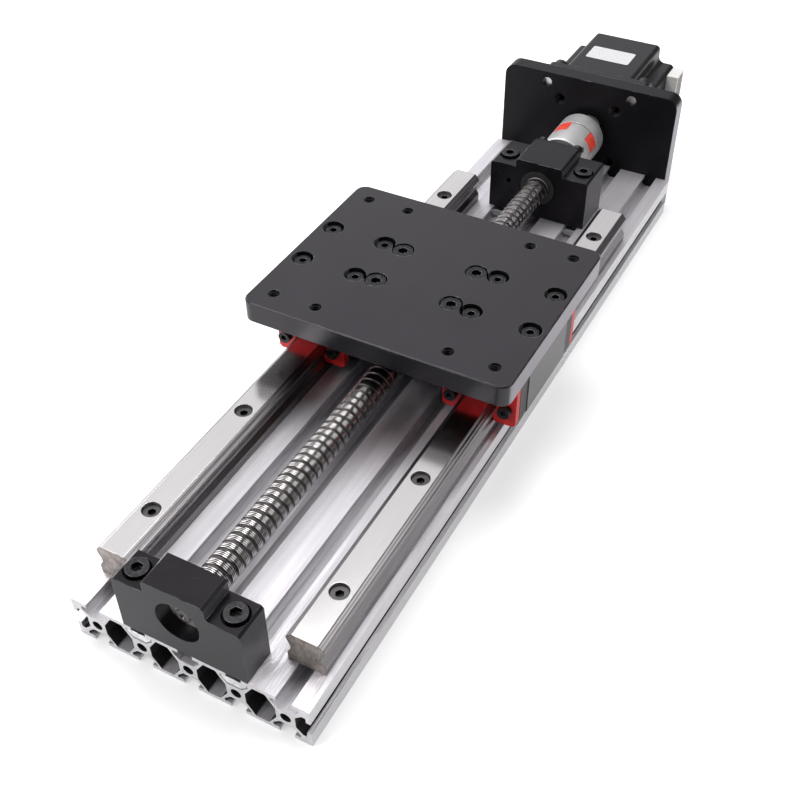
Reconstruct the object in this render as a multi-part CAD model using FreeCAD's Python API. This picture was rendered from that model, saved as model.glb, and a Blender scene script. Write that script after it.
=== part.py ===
import FreeCAD, Part

import math
import os

# Ball screw linear module: slotted base, two rails, ball screw, carriage, coupling and stepper motor.
# Lengths are millimetres. X runs across, Y from the front support to the motor, Z up.
# Y values below are counted from the front end of the base; the whole is centred when it is written.

# Base extrusion
profile_width = 100.0
profile_height = 20.0
profile_length = 367.0
slot_pitch = 20.0
slot_count = 5
slot_mouth = 6.2
slot_lip = 1.8
slot_inner_width = 11.0
slot_wall_depth = 3.4
slot_depth = 6.1
slot_floor_width = 5.5
core_bore = 4.3
web_void_width = 12.2
web_void_flat = 5.0
web_void_side = 5.2
profile_skin = 1.7
cut_over = 1.0

# Rails
rail_spacing = 80.0
rail_width = 15.0
rail_height = 15.0
rail_start = 15.0
rail_past_support = 0.5
rail_top_width = 10.2
rail_waist_width = 12.0
rail_foot_height = 4.0
rail_waist_low = 6.4
rail_waist_high = 8.0
rail_shoulder_low = 11.6
rail_shoulder_high = 12.6
rail_hole_pitch = 60.0
rail_hole_offset = 22.8
rail_hole_margin = 7.5
rail_hole = 4.5
rail_counterbore = 7.5
rail_counterbore_depth = 5.3

# Socket head screws: thread, head diameter, head height, key width across flats, key depth
screw_m3 = (3.0, 5.5, 3.0, 2.5, 1.5)
screw_m4 = (4.0, 7.0, 4.0, 3.0, 2.2)
screw_m5 = (5.0, 8.5, 5.0, 4.0, 2.6)
thread_clearance = 0.05
screw_hole_gap = 0.2
tap_run_out = 0.5
rail_screw = screw_m4
rail_screw_length = 15.0

# Nuts in the slots
slot_nut_length = 11.0
slot_nut_width = 10.2
slot_nut_height = 3.4
slot_nut_side = 1.3
slot_nut_foot = 5.6
support_nut_length = 20.0
support_nut_overhang = 1.0

# Bearing supports of the screw
support_width = 52.0
support_ear_height = 26.0
support_hump_width = 25.0
support_chamfer = 1.0
screw_axis_height = 17.0
support_screw = screw_m5
support_screw_pitch = 40.0
support_screw_length = 28.0
support_hole = 5.5
support_counterbore = 10.2
support_counterbore_depth = 3.8
bearing_fit = 0.02

front_support_start = 0.0
front_support_length = 14.0
front_support_height = 32.0
front_mouth = 18.0
front_bearing_depth = 6.0
front_rear_opening = 13.0

rear_support_length = 23.0
rear_support_height = 30.4
rear_seal_diameter = 18.0
rear_seal_length = 3.0
rear_seal_proud = 0.7
rear_collar_length = 4.0
rear_screw_offset = 9.8
rear_oil_hole = 3.0
rear_oil_hole_depth = 4.0
rear_oil_hole_x = -16.0

# Ball bearings: bore, outside diameter, width, wall of each ring
front_bearing = (6.0, 17.0, 6.0, 1.6)
rear_bearing = (8.0, 22.0, 7.0, 2.0)
rear_bearing_count = 2
shield_thickness = 0.4
shield_gap = 0.15
ball_row_gap = 0.1
ball_row_sink = 1.0

# Rear bearing lid and lock nut
lid_size = 25.0
lid_corner = 3.0
lid_flange = 2.5
lid_screw = screw_m3
lid_screw_pitch = 19.0
lid_screw_length = 9.0
lid_nut_recess = 19.6
collar_diameter = 12.0
seal_gap = 0.1
rear_collar_overhang = 0.6
lock_nut_diameter = 18.0
lock_nut_length = 5.6
lock_nut_flats = 16.0
lock_nut_screw_diameter = 3.0
lock_nut_screw_key = 1.5
lock_nut_screw_sink = 0.6

# Ball screw
screw_diameter = 12.0
screw_lead = 4.0
screw_end_gap = 1.0
front_journal = 6.0
front_journal_start = 3.0
rear_journal = 8.0
end_journal = 6.0
end_journal_gap = 0.5
centre_hole = 1.6
centre_hole_depth = 2.0
snap_ring_width = 0.8
snap_ring_diameter = 9.4
snap_ring_groove = 5.4
snap_ring_gap = 0.1
snap_ring_gap_angle = 50.0

# Carriage plate
plate_width = 120.0
plate_length = 100.0
plate_thickness = 10.0
plate_corner = 5.0
plate_centre = 179.7
plate_chamfer = 0.5
table_hole = 5.0
table_hole_edge = 10.0
table_hole_inner_pitch = 60.0

# Bearing blocks on the rails
block_width = 34.0
block_height = 28.0
block_ground_gap = 4.3
block_steel_length = 39.4
block_length = 61.4
block_chamfer = 1.2
block_running_gap = 0.3
block_seal_thickness = 3.5
block_cap_inset = 0.4
block_cap_drop = 1.2
block_seal_inset = 0.5
block_seal_drop = 1.5
block_screw = screw_m4
block_screw_pitch = 26.0
block_screw_length = 14.0
block_screw_counterbore = 9.6
block_screw_sink = 1.2
block_hole = 4.5
block_end_screw = screw_m3
block_end_screw_pitch = 24.0
block_end_screw_height = 13.0
block_end_screw_length = 14.0
nipple_height = 20.6
nipple_diameter = 5.0
nipple_length = 4.6
nipple_hexagon_length = 1.6
nipple_throat_length = 1.2
nipple_throat = 3.0
nipple_head = 3.8
nipple_stem = 3.0
nipple_stem_length = 6.0
spacer_length = 38.0
spacer_thickness = 4.0

# Ball nut and its housing
nut_diameter = 24.0
nut_length = 44.0
nut_flange_diameter = 40.0
nut_flange_thickness = 10.0
nut_flange_height = 30.0
nut_bolt_circle = 32.0
nut_bolt = screw_m4
nut_bolt_length = 20.0
nut_bolt_angles = (-45.0, 0.0, 45.0, 135.0, 180.0, 225.0)
nut_running_gap = 0.05
nut_wiper_diameter = 17.0
nut_wiper_thickness = 1.5
housing_block_gap = 1.0
housing_length = 34.0
housing_chamfer = 1.0
housing_fit = 0.05
nut_screw = screw_m5
nut_screw_cross_pitch = 35.0
nut_screw_length_pitch = 24.2
nut_screw_length = 14.0
nut_screw_counterbore = 9.8
nut_screw_sink = 0.4
nut_screw_hole = 5.5

# Jaw coupling
coupling_plate_gap = 4.4
coupling_nut_gap = 0.9
coupling_diameter = 25.0
coupling_length = 30.0
coupling_hub_length = 10.5
coupling_jaw_gap = 0.7
coupling_arm_angle = 38.0
coupling_arm_phase = 62.0
coupling_jaw_slack = 0.6
coupling_jaw_root_gap = 1.0
coupling_spider_gap = 0.1
coupling_arm_root = 0.5
coupling_core = 9.0
coupling_core_bore = 7.0
coupling_chamfer = 0.6
coupling_screw_diameter = 3.0
coupling_screw_length = 5.0
coupling_screw_key = 1.5
coupling_front_screw_angles = (56.0, 146.0)
coupling_rear_screw_angles = (197.0, 287.0)
coupling_screw_from_end = 4.4

# Motor plate
motor_plate_width = 96.0
motor_plate_height = 66.0
motor_plate_thickness = 9.0
motor_plate_corner = 6.0
motor_plate_foot_corner = 1.5
motor_plate_opening = 22.0
motor_plate_recess_depth = 2.2
small_motor_pitch = 31.0
small_motor_hole = 3.4
small_motor_countersink = 6.4
end_screw_shank = 4.2
end_screw_gap = 0.4
end_screw_length = 22.0
end_screw_head = 9.4
end_screw_head_height = 2.6
end_screw_key = 3.0
end_screw_key_depth = 1.6
end_screw_every = 2

# Stepper motor
motor_size = 56.4
motor_length = 50.0
motor_flange_thickness = 5.5
motor_cap_length = 10.0
motor_corner = 2.5
motor_notch = 9.2
motor_notch_fillet = 3.5
motor_edge_radius = 2.5
motor_pilot = 38.1
motor_pilot_length = 1.6
motor_pilot_fit = 0.05
motor_hole_edge = 4.63
motor_hole = 5.2
motor_screw = screw_m5
motor_screw_tip = 2.0
motor_shaft = 6.35
motor_shaft_end = 0.5
motor_shaft_fit = 0.05
motor_bearing_diameter = 19.0
motor_bearing_width = 6.0
motor_bearing_lip = 1.0
motor_shaft_opening = 12.0
rotor_diameter = 32.0
rotor_length = 27.0
rotor_air_gap = 0.4
motor_inner_gap = 0.3
winding_wall = 0.55
winding_inner = 35.0
winding_height = 4.5
tie_screw_inset = 2.0
tie_screw_diameter = 3.0
tie_screw_head = 5.5
tie_screw_head_height = 2.0
tie_screw_depth = 41.0
tie_screw_gap = 0.1
tie_screw_slot = 0.8
tie_screw_slot_length = 3.2
tie_screw_slot_depth = 1.0
connector_depth = 6.0
connector_length = 11.5
connector_height = 16.0
connector_wall = 1.2
connector_cavity = 4.5
connector_rear_gap = 0.8
connector_top = 18.0

# Places worked out from the sizes above; the rear support and the coupling keep their distance to the motor plate
motor_plate_start = profile_length
coupling_end = motor_plate_start - coupling_plate_gap
coupling_start = coupling_end - coupling_length
rear_support_end = coupling_start - coupling_nut_gap - lock_nut_length - rear_collar_overhang
rear_support_start = rear_support_end - rear_support_length
rail_length = rear_support_start + rail_past_support - rail_start
rail_hole_count = int((rail_length - rail_hole_offset - rail_hole_margin) // rail_hole_pitch) + 1
housing_width = rail_spacing - block_width - 2 * housing_block_gap
table_hole_length_pitch = plate_length - 2 * table_hole_edge
table_hole_outer_pitch = plate_width - 2 * table_hole_edge
rail_base = profile_height
rail_top = rail_base + rail_height
screw_axis = profile_height + screw_axis_height
block_top = rail_base + block_height
plate_underside = block_top + spacer_thickness
plate_top = plate_underside + plate_thickness
block_start = plate_centre - block_length / 2
steel_start = plate_centre - block_steel_length / 2
motor_start = motor_plate_start + motor_plate_thickness
motor_hole_pitch = motor_size - 2 * motor_hole_edge
tie_screw_pitch = motor_size - 2 * (motor_notch + tie_screw_inset)
winding_diameter = math.sqrt(2) * tie_screw_pitch - tie_screw_diameter - 2 * winding_wall
overall_length = motor_start + motor_length
front_bearing_start = front_support_start + front_bearing_depth
rear_bearing_start = rear_support_start + rear_collar_length
rear_bearing_end = rear_bearing_start + rear_bearing_count * rear_bearing[2]
rear_collar_end = rear_support_end + rear_collar_overhang
coupling_gap_start = coupling_start + coupling_hub_length
coupling_gap_end = coupling_end - coupling_hub_length
thread_start = front_support_start + front_support_length + screw_end_gap
thread_end = rear_support_start - rear_seal_proud - screw_end_gap / 2
housing_start = plate_centre - housing_length / 2
housing_end = plate_centre + housing_length / 2
nut_start = housing_end + nut_flange_thickness - nut_length
half_cell = slot_pitch / 2


def box(x0, x1, y0, y1, z0, z1):
    """Block between two corners."""
    return Part.makeBox(x1 - x0, y1 - y0, z1 - z0, FreeCAD.Vector(x0, y0, z0))


def rod_y(radius, y0, y1, x=0.0, z=screw_axis):
    """Cylinder along Y, on the screw's axis unless told otherwise."""
    return Part.makeCylinder(radius, y1 - y0, FreeCAD.Vector(x, y0, z), FreeCAD.Vector(0, 1, 0))


def rod_z(radius, z0, z1, x, y):
    """Upright cylinder."""
    return Part.makeCylinder(radius, z1 - z0, FreeCAD.Vector(x, y, z0))


def tube_y(outer, inner, y0, y1, x=0.0, z=screw_axis):
    """Ring about a Y axis, given by its two diameters."""
    return rod_y(outer / 2, y0, y1, x, z).cut(rod_y(inner / 2, y0, y1, x, z))


def cone_y(r0, r1, y0, y1, x=0.0, z=screw_axis):
    """Cone along Y."""
    return Part.makeCone(r0, r1, y1 - y0, FreeCAD.Vector(x, y0, z), FreeCAD.Vector(0, 1, 0))


def prism_y(points, y0, y1):
    """Closed outline of (x, z) points pushed along Y."""
    corners = [FreeCAD.Vector(x, y0, z) for x, z in points]
    outline = Part.makePolygon(corners + corners[:1])
    return Part.Face(outline).extrude(FreeCAD.Vector(0, y1 - y0, 0))


def mirrored(points):
    """The half outline on +X and its mirror image, as one closed outline."""
    return points + [(-x, z) for x, z in reversed(points)]


def rounded_slab(width, height, thickness, radii):
    """Rectangle in XY about the origin, with one radius per corner, pushed along +Z.

    The radii run anticlockwise from the corner at -X, -Y.
    """
    w = width / 2
    h = height / 2
    corners = ((-w, -h, 180.0), (w, -h, 270.0), (w, h, 0.0), (-w, h, 90.0))
    edges = []
    ends = []
    for (x, y, start), r in zip(corners, radii):
        cx = x - math.copysign(r, x)
        cy = y - math.copysign(r, y)
        arc = Part.makeCircle(r, FreeCAD.Vector(cx, cy, 0), FreeCAD.Vector(0, 0, 1), start, start + 90.0)
        edges.append(arc)
        ends.append((arc.Vertexes[0].Point, arc.Vertexes[-1].Point))
    for i in range(4):
        edges.append(Part.LineSegment(ends[i][1], ends[(i + 1) % 4][0]).toShape())
    outline = Part.Wire(Part.__sortEdges__(edges))
    return Part.Face(outline).extrude(FreeCAD.Vector(0, 0, thickness))


def upright(shape, y, z):
    """Turn a slab made in XY so that it stands across the Y axis, its thickness running along +Y."""
    turned = shape.copy()
    turned.rotate(FreeCAD.Vector(0, 0, 0), FreeCAD.Vector(1, 0, 0), 90)
    turned.translate(FreeCAD.Vector(0, y + turned.BoundBox.YLength, z))
    return turned


def key_hole(across_flats, depth):
    """Hexagonal key hole that opens upwards at z = 0."""
    radius = across_flats / math.sqrt(3.0)
    points = [FreeCAD.Vector(radius * math.cos(math.radians(60 * i)), radius * math.sin(math.radians(60 * i)), 0)
              for i in range(6)]
    outline = Part.makePolygon(points + points[:1])
    return Part.Face(outline).extrude(FreeCAD.Vector(0, 0, -depth))


def thread_radius(screw):
    """Radius of a screw's shank."""
    return screw[0] / 2


def head_height(screw):
    """Height of a screw's head."""
    return screw[2]


def tapped_radius(screw):
    """Radius of the hole that a screw's thread turns into."""
    return thread_radius(screw) + thread_clearance


def cap_screw(screw, length):
    """Socket head screw pointing down, with the seat of its head at z = 0."""
    thread, head_diameter, height, key, key_depth = screw
    head = Part.makeCylinder(head_diameter / 2, height)
    shank = Part.makeCylinder(thread / 2, length, FreeCAD.Vector(0, 0, -length))
    socket = key_hole(key, key_depth)
    socket.translate(FreeCAD.Vector(0, 0, height))
    return head.fuse(shank).removeSplitter().cut(socket)


def moved(shape, x, y, z):
    """Copy of a shape, moved."""
    copy = shape.copy()
    copy.translate(FreeCAD.Vector(x, y, z))
    return copy


def turned_to_y(shape, towards_front):
    """Copy of a downward screw, laid along Y with its tip towards the front or the motor."""
    copy = shape.copy()
    copy.rotate(FreeCAD.Vector(0, 0, 0), FreeCAD.Vector(1, 0, 0), -90 if towards_front else 90)
    return copy


def spun(shape, angle):
    """Copy of a shape, turned about the screw's axis, clockwise from above towards +X."""
    copy = shape.copy()
    copy.rotate(FreeCAD.Vector(0, 0, screw_axis), FreeCAD.Vector(0, 1, 0), angle)
    return copy


def write(name, solids):
    """Write one sub-part, with the whole module centred along Y."""
    group = Part.makeCompound(solids) if isinstance(solids, list) else solids
    placed = moved(group, 0, -overall_length / 2, 0)
    placed.exportStep("parts/" + name + ".step")


def slot_columns():
    """X of each slot in the top and bottom of the base."""
    first = -slot_pitch * (slot_count - 1) / 2
    return [first + i * slot_pitch for i in range(slot_count)]


def slot_outline(grow=0.0):
    """T slot that opens upwards at z = 0, as (x, z) points."""
    half = [(slot_mouth / 2, grow), (slot_mouth / 2, -slot_lip), (slot_inner_width / 2, -slot_lip),
            (slot_inner_width / 2, -slot_wall_depth), (slot_floor_width / 2, -slot_depth)]
    return mirrored(half)


def make_base_profile():
    """Extruded base: T slots above, below and at the sides, screw cores and hollow webs."""
    body = box(-profile_width / 2, profile_width / 2, 0, profile_length, 0, profile_height)
    slot = prism_y(slot_outline(cut_over), 0, profile_length)
    middle = profile_height / 2
    cuts = []
    for x in slot_columns():
        cuts.append(moved(slot, x, 0, profile_height))
        under = slot.copy()
        under.rotate(FreeCAD.Vector(0, 0, 0), FreeCAD.Vector(0, 1, 0), 180)
        cuts.append(moved(under, x, 0, 0))
        cuts.append(rod_y(core_bore / 2, 0, profile_length, x, middle))
    for side in (-1, 1):
        beside = slot.copy()
        beside.rotate(FreeCAD.Vector(0, 0, 0), FreeCAD.Vector(0, 1, 0), 90 * side)
        cuts.append(moved(beside, side * profile_width / 2, 0, middle))
    top = profile_height - profile_skin
    void_half = [(web_void_flat / 2, top), (web_void_width / 2, middle + web_void_side / 2),
                 (web_void_width / 2, middle - web_void_side / 2), (web_void_flat / 2, profile_skin)]
    void = prism_y(mirrored(void_half), 0, profile_length)
    for x in slot_columns()[:-1]:
        cuts.append(moved(void, x + half_cell, 0, 0))
    return body.cut(cuts)


def rail_outline(gap=0.0):
    """Rail section about x = 0 with its foot at z = 0, grown sideways and upwards by a gap."""
    half = [(rail_width / 2 + gap, 0), (rail_width / 2 + gap, rail_foot_height + gap),
            (rail_waist_width / 2 + gap, rail_waist_low + gap), (rail_waist_width / 2 + gap, rail_waist_high - gap),
            (rail_width / 2 + gap, rail_shoulder_low - gap), (rail_width / 2 + gap, rail_shoulder_high + gap),
            (rail_top_width / 2 + gap, rail_height + gap)]
    return mirrored(half)


def rail_hole_places():
    """Y of each screw hole along a rail."""
    return [rail_start + rail_hole_offset + i * rail_hole_pitch for i in range(rail_hole_count)]


def make_rail(x):
    """Ground steel rail with counterbored screw holes."""
    body = moved(prism_y(rail_outline(), rail_start, rail_start + rail_length), x, 0, rail_base)
    cuts = []
    for y in rail_hole_places():
        cuts.append(rod_z(rail_hole / 2, rail_base, rail_top, x, y))
        cuts.append(rod_z(rail_counterbore / 2, rail_top - rail_counterbore_depth, rail_top, x, y))
    return body.cut(cuts)


def make_rail_screws():
    """One socket head screw in every rail hole."""
    screw = cap_screw(rail_screw, rail_screw_length)
    seat = rail_top - rail_counterbore_depth
    return [moved(screw, x, y, seat) for x in rail_columns() for y in rail_hole_places()]


def rail_columns():
    """X of the two rails."""
    return (-rail_spacing / 2, rail_spacing / 2)


def slot_nut(length):
    """Wedge-sided nut that hangs under the lips of a slot, about the middle of its length, not yet tapped."""
    top = profile_height - slot_lip
    half = [(slot_nut_width / 2, top), (slot_nut_width / 2, top - slot_nut_side),
            (slot_nut_foot / 2, top - slot_nut_height)]
    return prism_y(mirrored(half), -length / 2, length / 2)


def make_rail_slot_nuts():
    """Nuts that hold the rails down."""
    thread = rod_z(tapped_radius(rail_screw), 0, profile_height, 0, 0)
    nut = slot_nut(slot_nut_length).cut(thread)
    return [moved(nut, x, y, 0) for x in rail_columns() for y in rail_hole_places()]


def support_outline(height):
    """Bearing support seen from the front: wide foot, two ears and a hump over the screw."""
    ear = support_ear_height
    c = support_chamfer
    half = [(support_width / 2, 0), (support_width / 2, ear - c), (support_width / 2 - c, ear),
            (support_hump_width / 2, ear), (support_hump_width / 2, height - c),
            (support_hump_width / 2 - c, height)]
    return mirrored(half)


def support_screw_places():
    """X and Y of the screws that hold the two supports down."""
    rows = (front_support_start + front_support_length / 2, rear_support_start + rear_screw_offset)
    return [(side * support_screw_pitch / 2, y) for y in rows for side in (-1, 1)]


def support_body(start, length, height):
    """Blank of a support with its two counterbored holding-down holes."""
    body = moved(prism_y(support_outline(height), start, start + length), 0, 0, profile_height)
    ear = profile_height + support_ear_height
    cuts = []
    for x, y in support_screw_places():
        cuts.append(rod_z(support_hole / 2, profile_height, ear, x, y))
        cuts.append(rod_z(support_counterbore / 2, ear - support_counterbore_depth, ear, x, y))
    return body.cut(cuts)


def make_front_support_block():
    """Floating end support: open mouth, bearing seat and a lip behind the bearing."""
    end = front_support_start + front_support_length
    seat = front_bearing[1] + 2 * bearing_fit
    bearing_end = front_bearing_start + front_bearing[2]
    bore = rod_y(front_mouth / 2, front_support_start, front_bearing_start)
    bore = bore.fuse(rod_y(seat / 2, front_bearing_start, bearing_end))
    bore = bore.fuse(rod_y(front_rear_opening / 2, bearing_end, end))
    return support_body(front_support_start, front_support_length, front_support_height).cut(bore)


def lid_screw_places():
    """X and Z of the four screws of the bearing lid."""
    half = lid_screw_pitch / 2
    return [(sx * half, screw_axis + sz * half) for sx in (-1, 1) for sz in (-1, 1)]


def make_rear_support_block():
    """Fixed end support: seal mouth in front, bearing bore from behind, tapped for the lid."""
    seal_end = rear_support_start + rear_seal_length
    seat = rear_bearing[1] + 2 * bearing_fit
    opening = collar_diameter + 2 * seal_gap
    cuts = [rod_y(rear_seal_diameter / 2 + bearing_fit, rear_support_start, seal_end),
            rod_y(opening / 2, seal_end, rear_bearing_start),
            rod_y(seat / 2, rear_bearing_start, rear_support_end)]
    tapped = tapped_radius(lid_screw)
    depth = lid_screw_length - lid_flange + tap_run_out
    for x, z in lid_screw_places():
        cuts.append(rod_y(tapped, rear_support_end - depth, rear_support_end, x, z))
    oil_end = rear_support_start + rear_oil_hole_depth
    cuts.append(rod_y(rear_oil_hole / 2, rear_support_start, oil_end, rear_oil_hole_x, screw_axis))
    return support_body(rear_support_start, rear_support_length, rear_support_height).cut(cuts)


def make_support_screws():
    """Four screws that hold the supports to the base."""
    screw = cap_screw(support_screw, support_screw_length)
    seat = profile_height + support_ear_height - support_counterbore_depth
    return [moved(screw, x, y, seat) for x, y in support_screw_places()]


def make_support_slot_nuts():
    """Long nuts under the supports; the rear ones show in front of their support."""
    nuts = []
    for x, y in support_screw_places():
        front_row = y < rear_support_start
        length = front_support_length if front_row else support_nut_length
        centre = y if front_row else rear_support_start - support_nut_overhang + length / 2
        nut = moved(slot_nut(length), x, centre, 0)
        nuts.append(nut.cut(rod_z(tapped_radius(support_screw), 0, profile_height, x, y)))
    return nuts


def bearing_rings(bearing, start, shielded):
    """Outer and inner ring of a ball bearing, with a shield in each face of the outer ring if asked."""
    bore, outside, width, wall = bearing
    outer = tube_y(outside, outside - 2 * wall, start, start + width)
    inner = tube_y(bore + 2 * wall, bore + 2 * bearing_fit, start, start + width)
    if shielded:
        for y in (start, start + width - shield_thickness):
            outer = outer.fuse(tube_y(outside - 2 * wall, bore + 2 * wall + 2 * shield_gap, y, y + shield_thickness))
    return outer.removeSplitter(), inner


def ball_row(bearing, start):
    """Balls and cage of one bearing, as one plain ring between its two rings."""
    bore, outside, width, wall = bearing
    gap = wall + ball_row_gap
    return tube_y(outside - 2 * gap, bore + 2 * gap, start + ball_row_sink, start + width - ball_row_sink)


def rear_bearing_starts():
    """Front face of each bearing in the fixed support."""
    return [rear_bearing_start + i * rear_bearing[2] for i in range(rear_bearing_count)]


def make_snap_ring():
    """Open retaining ring in the groove before the front bearing."""
    start = front_bearing_start - snap_ring_width
    ring = tube_y(snap_ring_diameter, snap_ring_groove + snap_ring_gap, start, front_bearing_start)
    reach = snap_ring_diameter
    half = math.radians(snap_ring_gap_angle / 2)
    wedge = [(0, screw_axis), (reach * math.sin(half), screw_axis - reach * math.cos(half)),
             (-reach * math.sin(half), screw_axis - reach * math.cos(half))]
    return ring.cut(prism_y(wedge, start, front_bearing_start))


def make_rear_support_seal():
    """Seal ring pressed in the mouth of the fixed support, a little proud of it."""
    inner = collar_diameter + 2 * seal_gap
    front = rear_support_start - rear_seal_proud
    return tube_y(rear_seal_diameter, inner, front, rear_support_start + rear_seal_length)


def make_rear_spacer_collars():
    """Ground collars before and behind the bearing pair."""
    bore = rear_journal + 2 * bearing_fit
    front = tube_y(collar_diameter, bore, thread_end, rear_bearing_start)
    rear = tube_y(collar_diameter, bore, rear_bearing_end, rear_collar_end)
    return [front, rear]


def make_rear_bearing_lid():
    """Square lid whose spigot holds the bearing pair, open in the middle for the lock nut."""
    slab = rounded_slab(lid_size, lid_size, lid_flange, (lid_corner,) * 4)
    flange = upright(slab, rear_support_end, screw_axis)
    spigot = rod_y(rear_bearing[1] / 2, rear_bearing_end, rear_support_end)
    cuts = [rod_y(collar_diameter / 2 + seal_gap, rear_bearing_end, rear_support_end),
            rod_y(lid_nut_recess / 2, rear_support_end, rear_support_end + lid_flange)]
    for x, z in lid_screw_places():
        cuts.append(rod_y(thread_radius(lid_screw) + screw_hole_gap, rear_support_end, rear_support_end + lid_flange, x, z))
    return flange.fuse(spigot).removeSplitter().cut(cuts)


def make_rear_lid_screws():
    """Four small screws of the bearing lid."""
    screw = turned_to_y(cap_screw(lid_screw, lid_screw_length), True)
    return [moved(screw, x, rear_support_end + lid_flange, z) for x, z in lid_screw_places()]


def make_lock_nut():
    """Round lock nut with a radial set screw hole and two spanner flats."""
    end = rear_collar_end + lock_nut_length
    nut = tube_y(lock_nut_diameter, rear_journal + 2 * thread_clearance, rear_collar_end, end)
    middle = (rear_collar_end + end) / 2
    hole = rod_z(lock_nut_screw_diameter / 2, screw_axis, screw_axis + lock_nut_diameter, 0, middle)
    half = lock_nut_flats / 2
    return nut.cut(hole).common(box(-half, half, rear_collar_end, end, 0, 2 * screw_axis))


def set_screw(diameter, tip, length, key):
    """Grub screw along +Z from its tip, with a key hole in its outer end."""
    body = Part.makeCylinder(diameter / 2 - thread_clearance, length, FreeCAD.Vector(0, 0, tip))
    socket = key_hole(key, length / 2)
    socket.translate(FreeCAD.Vector(0, 0, tip + length))
    return body.cut(socket)


def make_lock_nut_set_screw():
    """Set screw that grips the thread of the journal."""
    middle = rear_collar_end + lock_nut_length / 2
    tip = rear_journal / 2 + 2 * thread_clearance
    length = lock_nut_diameter / 2 - tip - lock_nut_screw_sink
    return moved(set_screw(lock_nut_screw_diameter, tip, length, lock_nut_screw_key), 0, middle, screw_axis)


def make_ball_screw():
    """Screw shaft with its journals, snap ring groove and centre hole; the ball groove is left plain."""
    shaft = rod_y(front_journal / 2, front_journal_start, thread_start)
    shaft = shaft.fuse(rod_y(screw_diameter / 2, thread_start, thread_end))
    shaft = shaft.fuse(rod_y(rear_journal / 2, thread_end, rear_collar_end + lock_nut_length))
    shaft = shaft.fuse(rod_y(end_journal / 2, rear_collar_end + lock_nut_length, coupling_gap_start - end_journal_gap))
    shaft = shaft.removeSplitter()
    groove = tube_y(front_journal + cut_over, snap_ring_groove, front_bearing_start - snap_ring_width, front_bearing_start)
    centre = cone_y(centre_hole, 0.0, front_journal_start, front_journal_start + centre_hole_depth)
    return shaft.cut([groove, centre])


def table_hole_places():
    """X and Y of the tapped holes for the load."""
    half_length = table_hole_length_pitch / 2
    columns = [side * pitch / 2 for pitch in (table_hole_outer_pitch, table_hole_inner_pitch) for side in (-1, 1)]
    return [(x, plate_centre + side * half_length) for x in columns for side in (-1, 1)]


def block_screw_places():
    """X and Y of the screws that hold the plate to the bearing blocks."""
    half = block_screw_pitch / 2
    return [(x + sx * half, plate_centre + sy * half) for x in rail_columns() for sx in (-1, 1) for sy in (-1, 1)]


def nut_screw_places():
    """X and Y of the screws that hold the plate to the nut housing."""
    return [(sx * nut_screw_cross_pitch / 2, plate_centre + sy * nut_screw_length_pitch / 2)
            for sx in (-1, 1) for sy in (-1, 1)]


def make_carriage_plate():
    """Table plate: eight tapped holes for the load and twelve counterbored screw holes."""
    slab = rounded_slab(plate_width, plate_length, plate_thickness, (plate_corner,) * 4)
    rims = [edge for edge in slab.Edges if abs(edge.BoundBox.ZMin - edge.BoundBox.ZMax) < 1e-6]
    body = moved(slab.makeChamfer(plate_chamfer, rims), 0, plate_centre, plate_underside)
    cuts = [rod_z(table_hole / 2, plate_underside, plate_top, x, y) for x, y in table_hole_places()]
    block_sink = head_height(block_screw) + block_screw_sink
    nut_sink = head_height(nut_screw) + nut_screw_sink
    for x, y in block_screw_places():
        cuts.append(rod_z(block_hole / 2, plate_underside, plate_top, x, y))
        cuts.append(rod_z(block_screw_counterbore / 2, plate_top - block_sink, plate_top, x, y))
    for x, y in nut_screw_places():
        cuts.append(rod_z(nut_screw_hole / 2, plate_underside, plate_top, x, y))
        cuts.append(rod_z(nut_screw_counterbore / 2, plate_top - nut_sink, plate_top, x, y))
    return body.cut(cuts)


def make_plate_block_screws():
    """Eight screws through the plate into the bearing blocks."""
    seat = plate_top - head_height(block_screw) - block_screw_sink
    screw = cap_screw(block_screw, block_screw_length)
    return [moved(screw, x, y, seat) for x, y in block_screw_places()]


def make_plate_nut_screws():
    """Four screws through the plate into the nut housing."""
    seat = plate_top - head_height(nut_screw) - nut_screw_sink
    screw = cap_screw(nut_screw, nut_screw_length)
    return [moved(screw, x, y, seat) for x, y in nut_screw_places()]


def saddle(y0, y1, inset, drop):
    """Block section pushed along Y, with the rail's section cut out of it."""
    w = block_width / 2 - inset
    top = block_height - drop
    low = block_ground_gap + inset
    c = block_chamfer
    outer = prism_y(mirrored([(w - c, low), (w, low + c), (w, top - c), (w - c, top)]), y0, y1)
    return outer.cut(prism_y(rail_outline(block_running_gap), y0, y1))


def make_block_body(x):
    """Hardened steel body of a bearing block, tapped for the plate."""
    steel_end = steel_start + block_steel_length
    body = moved(saddle(steel_start, steel_end, 0, 0), x, 0, rail_base)
    tip = plate_top - head_height(block_screw) - block_screw_sink - block_screw_length
    half = block_screw_pitch / 2
    radius = tapped_radius(block_screw)
    holes = [rod_z(radius, tip - tap_run_out, block_top, x + sx * half, plate_centre + sy * half)
             for sx in (-1, 1) for sy in (-1, 1)]
    return body.cut(holes)


def block_end_places(x):
    """X and Z of the screws in each end of a bearing block."""
    return [(x + side * block_end_screw_pitch / 2, rail_base + block_end_screw_height) for side in (-1, 1)]


def end_pair(front_shape):
    """A piece at the front of a block and its mirror image at the rear."""
    middle = FreeCAD.Vector(0, plate_centre, 0)
    return [front_shape, front_shape.mirror(middle, FreeCAD.Vector(0, 1, 0))]


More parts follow.
